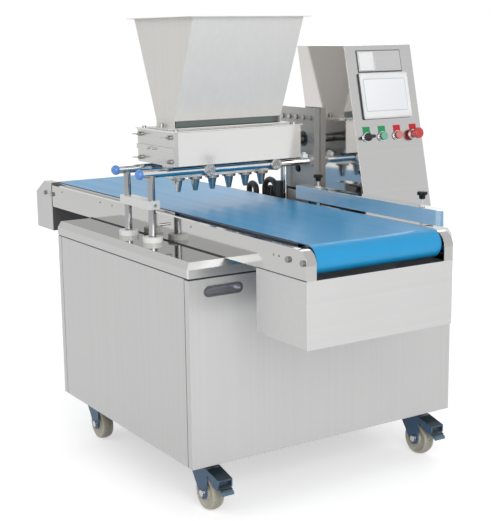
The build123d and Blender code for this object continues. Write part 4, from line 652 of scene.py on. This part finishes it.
def skin_loops(shape, loops, closed=False):
    """Join loops of points with quads; open runs of loops get a cap at each end."""
    rings = [[shape.verts.new(point) for point in loop] for loop in loops]
    pairs = list(zip(rings, rings[1:]))
    if closed:
        pairs.append((rings[-1], rings[0]))
    for near, far in pairs:
        count = len(near)
        for index in range(count):
            after = (index + 1) % count
            shape.faces.new((near[index], near[after], far[after], far[index]))
    if not closed:
        shape.faces.new(rings[0])
        shape.faces.new(rings[-1])


def turned(name, center, axis, profile, look, body, closed=False, segments=48):
    """A turned piece: profile points are (radius, distance along the axis)."""
    axis = Vector(axis).normalized()
    first = axis.orthogonal().normalized()
    second = axis.cross(first)
    shape = bmesh.new()
    loops = []
    for radius, distance in profile:
        loop = []
        for index in range(segments):
            angle = math.tau * index / segments
            spoke = first * math.cos(angle) + second * math.sin(angle)
            loop.append(Vector(center) + spoke * radius + axis * distance)
        loops.append(loop)
    skin_loops(shape, loops, closed)
    return add_piece(name, shape, look, body)


def rounded_outline(left, drop, width, height, corner, steps=6):
    """Points of a rounded rectangle on the panel, as (left, drop)."""
    points = []
    corners = ((1, 1, 0), (-1, 1, 90), (-1, -1, 180), (1, -1, 270))
    for side, end, start in corners:
        for step in range(steps + 1):
            angle = math.radians(start + 90 * step / steps)
            across = side * (width / 2 - corner) + corner * math.cos(angle)
            down = end * (height / 2 - corner) + corner * math.sin(angle)
            points.append((left + across, drop + down))
    return points


def panel_loop(outline, rise):
    """The points of an outline on the panel at one rise."""
    return [on_panel(left, drop, rise) for left, drop in outline]


def panel_slab(name, left, drop, size, corner, rises, edge, look):
    """A thin plate on the panel with rounded corners and a chamfered upper edge."""
    width, height = size
    low, high = rises
    full = rounded_outline(left, drop, width, height, corner)
    top = rounded_outline(left, drop, width - 2 * edge, height - 2 * edge, max(corner - edge, edge / 2))
    shape = bmesh.new()
    skin_loops(shape, [panel_loop(full, low), panel_loop(full, high - edge), panel_loop(top, high)])
    return add_piece(name, shape, look, "base")


# Screen: a raised white bezel round the display
bezel_size = (0.165, 0.122)
bezel_corner = 0.004
bezel_height = 0.0012
opening_corner = 0.002
opening_gap = 0.0002
opening_slope = 0.004
bezel_edge = 0.001
bezel_outer = rounded_outline(screen_left, screen_drop, *bezel_size, bezel_corner)
bezel_crest = rounded_outline(screen_left, screen_drop, bezel_size[0] - 2 * bezel_edge,
                              bezel_size[1] - 2 * bezel_edge, bezel_corner)
bezel_inner = rounded_outline(display_left, display_drop, display_size[0] + 2 * opening_gap,
                              display_size[1] + 2 * opening_gap, opening_corner)
bezel_slope = rounded_outline(display_left, display_drop, display_size[0] + 2 * opening_slope,
                              display_size[1] + 2 * opening_slope, opening_corner)
bezel_top = screen_rise + bezel_height
bezel_shape = bmesh.new()
bezel_loops = [
    panel_loop(bezel_outer, screen_rise),
    panel_loop(bezel_crest, bezel_top),
    panel_loop(bezel_slope, bezel_top),
    panel_loop(bezel_inner, screen_rise + opening_gap),
    panel_loop(bezel_inner, screen_rise),
]
skin_loops(bezel_shape, bezel_loops, closed=True)
add_piece("screen_bezel", bezel_shape, "bezel", "base")
display_glass = 0.0005
display_edge = 0.0002
panel_slab("screen_display", display_left, display_drop, display_size, opening_corner,
           (screen_rise, screen_rise + display_glass), display_edge, "display")

# Blank name plate: a dark backing, painted shadow that shows as a dark rim round the plate, a silver plate,
# and on it a white field and a bare band
plate_drop = 0.0445
plate_layers = (
    ("name_plate_shadow_back", 0.1145, (0.155, 0.062), 0.002, (0.0, 0.002), 0.0004, "backing", "screen"),
    ("name_plate", 0.1145, (0.150, 0.057), 0.002, (0.002, 0.0032), 0.0006, "plate", "stainless"),
    ("name_plate_field", 0.0680, (0.050, 0.050), 0.001, (0.0032, 0.0038), 0.0002, "bezel", "screen"),
    ("name_plate_band", 0.1410, (0.090, 0.046), 0.001, (0.0032, 0.0036), 0.0002, "plate", "stainless"),
)
for name, left, size, corner, rises, edge, look, slot in plate_layers:
    panel_slab(name, left, plate_drop, size, corner, rises, edge, look)

# Controls: a collar round each stem and a coloured tag above it
controls = (
    ("selector", selector_left, "green"),
    ("start", start_left, "green"),
    ("stop", stop_left, "red"),
    ("emergency", emergency_left, "red"),
)
collar_profile = ((0.0110, 0.0002), (0.0142, 0.0002), (0.0142, 0.0024), (0.0134, 0.0038), (0.0116, 0.0041),
                  (0.0110, 0.0037))
for name, left, _ in controls:
    turned(f"{name}_collar", on_panel(left, controls_drop, 0), panel_out, collar_profile, "chrome",
           "base", closed=True)

tag_width = 0.024
tag_rise = (0.0002, 0.0012)
tag_edge = 0.0003
tag_top = 0.029
tag_hollow = 0.0146


def tag_outline(left, inset, steps=10):
    """A square tag with a hollow lower edge that fits round its collar."""
    half = tag_width / 2 - inset
    reach = tag_hollow + inset
    spread = math.asin(half / reach)
    points = [(left - half, controls_drop - tag_top + inset), (left + half, controls_drop - tag_top + inset)]
    for step in range(steps + 1):
        angle = spread - 2 * spread * step / steps
        points.append((left + reach * math.sin(angle), controls_drop - reach * math.cos(angle)))
    return points


def control_tag(name, left, look):
    """A thin tag on the panel with a chamfered upper edge."""
    low, high = tag_rise
    full = tag_outline(left, 0)
    top = tag_outline(left, tag_edge)
    shape = bmesh.new()
    skin_loops(shape, [panel_loop(full, low), panel_loop(full, high - tag_edge), panel_loop(top, high)])
    add_piece(name, shape, look, "base")


for name, left, colour in controls:
    control_tag(f"{name}_tag", left, f"tag_{colour}")

# Strips with a quarter round section: dark strips at the feet of the rails and at the tail, painted shade for
# the shadow gaps there, and lips beside the belt
strip_steps = 5


def strip(name, start, stop, first, second, look):
    """A strip from start to stop that reaches out along two vectors, as far as each is long."""
    section = [Vector((0, 0, 0))]
    for step in range(strip_steps + 1):
        angle = math.pi / 2 * step / strip_steps
        section.append(Vector(first) * math.cos(angle) + Vector(second) * math.sin(angle))
    shape = bmesh.new()
    loops = [[Vector(end) + point for point in section] for end in (start, stop)]
    skin_loops(shape, loops)
    add_piece(name, shape, look, "base")


def rail_shade_strip(name, x, outward, ends, size):
    """A dark strip along a rail's foot on the cover, between two places along y: painted shade for the shadow
    gap there.
    """
    start_y, stop_y = ends
    strip(name, (x, start_y, cover_top), (x, stop_y, cover_top), (outward * size, 0, 0), (0, 0, size), "shade_strip")


# Painted shade: dark strips at the feet of the rails and the apron stand in for the shadow gaps there.
cover_shade_strip = 0.003
apron_shade_strip = 0.0016
left_shade_strip_ends = (-0.424, 0.344)
right_shade_strip_ends = (-0.424, 0.085)
apron_low, apron_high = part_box("front_apron")
apron_ends = (apron_low.y, apron_high.y)
rail_shade_strip("left_rail_shade_strip", apron_low.x, -1, left_shade_strip_ends, cover_shade_strip)
rail_shade_strip("right_rail_shade_strip", apron_high.x, 1, right_shade_strip_ends, cover_shade_strip)
rail_shade_strip("left_apron_shade_strip", apron_low.x, -1, apron_ends, apron_shade_strip)
rail_shade_strip("right_apron_shade_strip", apron_high.x, 1, apron_ends, apron_shade_strip)

lip_start_y = -0.13
lip_width = 0.002
lip_height = 0.0045
rail_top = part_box("left_rail")[1].z
left_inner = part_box("left_rail")[1].x
right_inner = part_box("right_rail")[0].x
for name, inner_x, outward in (("left_rail_lip", left_inner, -1), ("right_rail_lip", right_inner, 1)):
    strip(name, (inner_x, lip_start_y, rail_top), (inner_x, tail_front, rail_top),
          (outward * lip_width, 0, 0), (0, 0, lip_height), "rail")

# Painted shade: dark strips at the joint of the tail cover and the rails stand in for the shadow in that
# joint.
tail_shade_depth = 0.0010
tail_shade_width = 0.0025
for name, face_x, outward in (("left_tail_shade_strip", apron_low.x, -1), ("right_tail_shade_strip", apron_high.x, 1)):
    strip(name, (face_x, tail_front, cover_top), (face_x, tail_front, rail_top), (outward * tail_shade_depth, 0, 0),
          (0, -tail_shade_width, 0), "shade_strip")

# Sheet guard on the cover below the carriage plate, bent over at its foot and its top; its section is (x, z)
guard_x = 0.143
guard_sheet = 0.0015
guard_foot = 0.011
guard_fold = 0.006
guard_top = 0.751
guard_ends = (-0.135, -0.031)
guard_inner_x = guard_x + guard_sheet
guard_foot_x = guard_x + guard_foot
guard_fold_x = guard_x + guard_fold
guard_foot_top = cover_top + guard_sheet
guard_shoulder = guard_top - guard_sheet
guard_section = (
    (guard_x, cover_top), (guard_foot_x, cover_top), (guard_foot_x, guard_foot_top),
    (guard_inner_x, guard_foot_top), (guard_inner_x, guard_shoulder), (guard_fold_x, guard_shoulder),
    (guard_fold_x, guard_top), (guard_inner_x, guard_top), (guard_x, guard_shoulder),
)
guard_shape = bmesh.new()
skin_loops(guard_shape, [[Vector((x, y, z)) for x, z in guard_section] for y in guard_ends])
add_piece("drive_guard", guard_shape, "dark", "base")

# Star knobs: a lobed head over a hub, and a stud with a collar and a shoulder round the guide's flange
knob_lobes = 6
knob_segments = 72

# Rings of a knob from its foot to its top: (drop from the top, radius, depth of the hollows between lobes)
knob_rings = (
    (0.0890, 0.0036, 0), (0.0886, 0.0040, 0), (0.0452, 0.0040, 0), (0.0452, 0.0066, 0), (0.0448, 0.0070, 0),
    (0.0409, 0.0070, 0), (0.0405, 0.0066, 0), (0.0405, 0.0040, 0), (0.0375, 0.0040, 0), (0.0375, 0.0076, 0),
    (0.0371, 0.0080, 0), (0.0322, 0.0080, 0), (0.0318, 0.0076, 0), (0.0318, 0.0028, 0), (0.0180, 0.0028, 0),
    (0.0180, 0.0068, 0), (0.0175, 0.0074, 0), (0.0098, 0.0082, 0), (0.0088, 0.0092, 0.0006),
    (0.0080, 0.0122, 0.0026), (0.0074, 0.0128, 0.0032), (0.0014, 0.0128, 0.0032), (0.0004, 0.0120, 0.0030),
    (0.0000, 0.0104, 0.0024),
)


def lobed_ring(center, radius, depth):
    """A ring of points with a hollow between every two lobes."""
    points = []
    for index in range(knob_segments):
        angle = math.tau * index / knob_segments
        hollow = (0.5 + 0.5 * math.cos(knob_lobes * angle)) ** 2
        spoke = Vector((math.cos(angle), math.sin(angle), 0))
        points.append(Vector(center) + spoke * (radius - depth * hollow))
    return points


for end in ("front", "rear"):
    node = f"star_knob_{end}"
    knob_low, knob_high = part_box(node)
    knob_x = (knob_low.x + knob_high.x) / 2
    knob_y = (knob_low.y + knob_high.y) / 2
    knob_shape = bmesh.new()
    skin_loops(knob_shape, [lobed_ring((knob_x, knob_y, knob_high.z - drop), radius, depth)
                            for drop, radius, depth in knob_rings])
    knob = add_piece(f"lobed_knob_{end}", knob_shape, "knob", node)
    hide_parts(node)

# Socket screws on the tie bar, the clamps and the rear panel
screw_segments = 24
screw_profile = ((0.0045, 0), (0.0045, 0.0028), (0.0040, 0.0034), (0.0024, 0.0034), (0.0022, 0.0012))
tie_low, tie_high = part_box("tie_bar")
tie_x = (tie_low.x + tie_high.x) / 2
tie_z = (tie_low.z + tie_high.z) / 2
clamp_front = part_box("bar_clamps")[0].y
clamp_height = 0.841
clamp_xs = (-0.184, 0.033)
panel_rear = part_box("rear_panel")[1].y
rear_screw_xs = (-0.395, -0.13, 0.13, 0.395)
rear_screw_levels = (("low", 0.155), ("high", 0.595))


def screw(name, place, axis, body):
    """A socket screw with its head on a face."""
    turned(name, place, axis, screw_profile, "zinc", body, segments=screw_segments)


screw("tie_bar_screw", (tie_x, tie_low.y, tie_z), toward_front, "head")
for index, clamp_x in enumerate(clamp_xs):
    screw(f"clamp_screw_{index + 1}", (clamp_x, clamp_front, clamp_height), toward_front, "head")
for index, screw_x in enumerate(rear_screw_xs):
    for level, screw_z in rear_screw_levels:
        screw(f"rear_screw_{level}_{index + 1}", (screw_x, panel_rear, screw_z), axis_y, "base")

# White nut on a lift bar and black plug in the carriage plate
nut_sides = 6
nut_place = (0.138, -0.122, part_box("lift_bars")[1].z)
nut_profile = ((0.0110, -0.0015), (0.0125, -0.0015), (0.0125, 0.0075), (0.0105, 0.0095), (0.0060, 0.0095),
               (0.0060, 0.0130), (0.0050, 0.0140))
turned("bar_nut", nut_place, axis_z, nut_profile, "white", "head", segments=nut_sides)
plug_segments = 32
plug_place = (0.163, -0.056, 0.813)
plug_profile = ((0.0085, 0), (0.0085, 0.002), (0.0075, 0.0042), (0.0050, 0.0056), (0.0020, 0.0060))
turned("plate_plug", plug_place, toward_left, plug_profile, "black", "head",
       segments=plug_segments)


# Stage: a pale floor that keeps the object's shadow, and soft studio light
def stage_share(tree):
    """1 for rays that see the background straight, in metal or through glass."""
    rays = tree.nodes.new("ShaderNodeLightPath")
    first = tree.nodes.new("ShaderNodeMath")
    first.operation = "ADD"
    tree.links.new(rays.outputs["Is Camera Ray"], first.inputs[0])
    tree.links.new(rays.outputs["Is Glossy Ray"], first.inputs[1])
    both = tree.nodes.new("ShaderNodeMath")
    both.operation = "ADD"
    both.use_clamp = True
    tree.links.new(first.outputs["Value"], both.inputs[0])
    tree.links.new(rays.outputs["Is Transmission Ray"], both.inputs[1])
    return both.outputs["Value"]


floor_half = 25.0
floor_grey = (0.8, 0.8, 0.8)
glow_reach = (0.8, 4.5)
glow_strength = (0.50, 0.68)
sky_white = (1.0, 1.0, 1.0)
sky_strength = (0.45, 1.0)
floor_sides = ((-1, -1), (1, -1), (1, 1), (-1, 1))
floor_corners = [(side * floor_half, end * floor_half, 0) for side, end in floor_sides]
floor_mesh = bpy.data.meshes.new("floor")
floor_mesh.from_pydata(floor_corners, [], [(0, 1, 2, 3)])
floor = bpy.data.objects.new("floor", floor_mesh)
bpy.context.scene.collection.objects.link(floor)
floor_look = bpy.data.materials.new("floor")
floor_look.use_nodes = True
floor_tree = floor_look.node_tree
floor_tree.nodes.clear()
floor_out = floor_tree.nodes.new("ShaderNodeOutputMaterial")
floor_matt = floor_tree.nodes.new("ShaderNodeBsdfDiffuse")
floor_matt.inputs["Color"].default_value = rgba(floor_grey)
floor_place = floor_tree.nodes.new("ShaderNodeTexCoord")
floor_reach = floor_tree.nodes.new("ShaderNodeVectorMath")
floor_reach.operation = "LENGTH"
floor_glow_level = floor_tree.nodes.new("ShaderNodeMapRange")
floor_glow_level.inputs["From Min"].default_value = glow_reach[0]
floor_glow_level.inputs["From Max"].default_value = glow_reach[1]
floor_glow_level.inputs["To Min"].default_value = glow_strength[0]
floor_glow_level.inputs["To Max"].default_value = glow_strength[1]
floor_glow = floor_tree.nodes.new("ShaderNodeEmission")
floor_sum = floor_tree.nodes.new("ShaderNodeAddShader")
floor_level = floor_tree.nodes.new("ShaderNodeMath")
floor_level.operation = "MULTIPLY"
floor_tree.links.new(floor_place.outputs["Object"], floor_reach.inputs[0])
floor_tree.links.new(floor_reach.outputs["Value"], floor_glow_level.inputs["Value"])
floor_tree.links.new(stage_share(floor_tree), floor_level.inputs[0])
floor_tree.links.new(floor_glow_level.outputs["Result"], floor_level.inputs[1])
floor_tree.links.new(floor_level.outputs["Value"], floor_glow.inputs["Strength"])
floor_tree.links.new(floor_matt.outputs["BSDF"], floor_sum.inputs[0])
floor_tree.links.new(floor_glow.outputs["Emission"], floor_sum.inputs[1])
floor_tree.links.new(floor_sum.outputs["Shader"], floor_out.inputs["Surface"])
floor_mesh.materials.append(floor_look)

world = bpy.data.worlds.new("studio")
bpy.context.scene.world = world
world.use_nodes = True
sky_tree = world.node_tree
sky_tree.nodes.clear()
sky_out = sky_tree.nodes.new("ShaderNodeOutputWorld")
sky = sky_tree.nodes.new("ShaderNodeBackground")
sky.inputs["Color"].default_value = rgba(sky_white)
sky_level = sky_tree.nodes.new("ShaderNodeMapRange")
sky_level.inputs["To Min"].default_value = sky_strength[0]
sky_level.inputs["To Max"].default_value = sky_strength[1]
sky_tree.links.new(stage_share(sky_tree), sky_level.inputs["Value"])
sky_tree.links.new(sky_level.outputs["Result"], sky.inputs["Strength"])
sky_tree.links.new(sky.outputs["Background"], sky_out.inputs["Surface"])


def soft_lamp(name, place, target, size, power):
    """A square soft box aimed at a point."""
    data = bpy.data.lights.new(name, "AREA")
    data.shape = "SQUARE"
    data.size = size
    data.energy = power
    lamp = bpy.data.objects.new(name, data)
    lamp.location = place
    lamp.rotation_euler = (Vector(target) - Vector(place)).to_track_quat("-Z", "Y").to_euler()
    lamp.visible_camera = False
    bpy.context.scene.collection.objects.link(lamp)


soft_lamp("key", place=(-1.2, -3.9, 2.0), target=(0, 0, 0.7), size=2.6, power=85)
soft_lamp("fill", place=(-3.6, 0.6, 2.6), target=(0, 0, 0.7), size=2.4, power=22)
soft_lamp("back", place=(2.4, 2.4, 3.2), target=(0, 0, 0.8), size=2.4, power=40)
bpy.context.scene.view_settings.view_transform = "Standard"
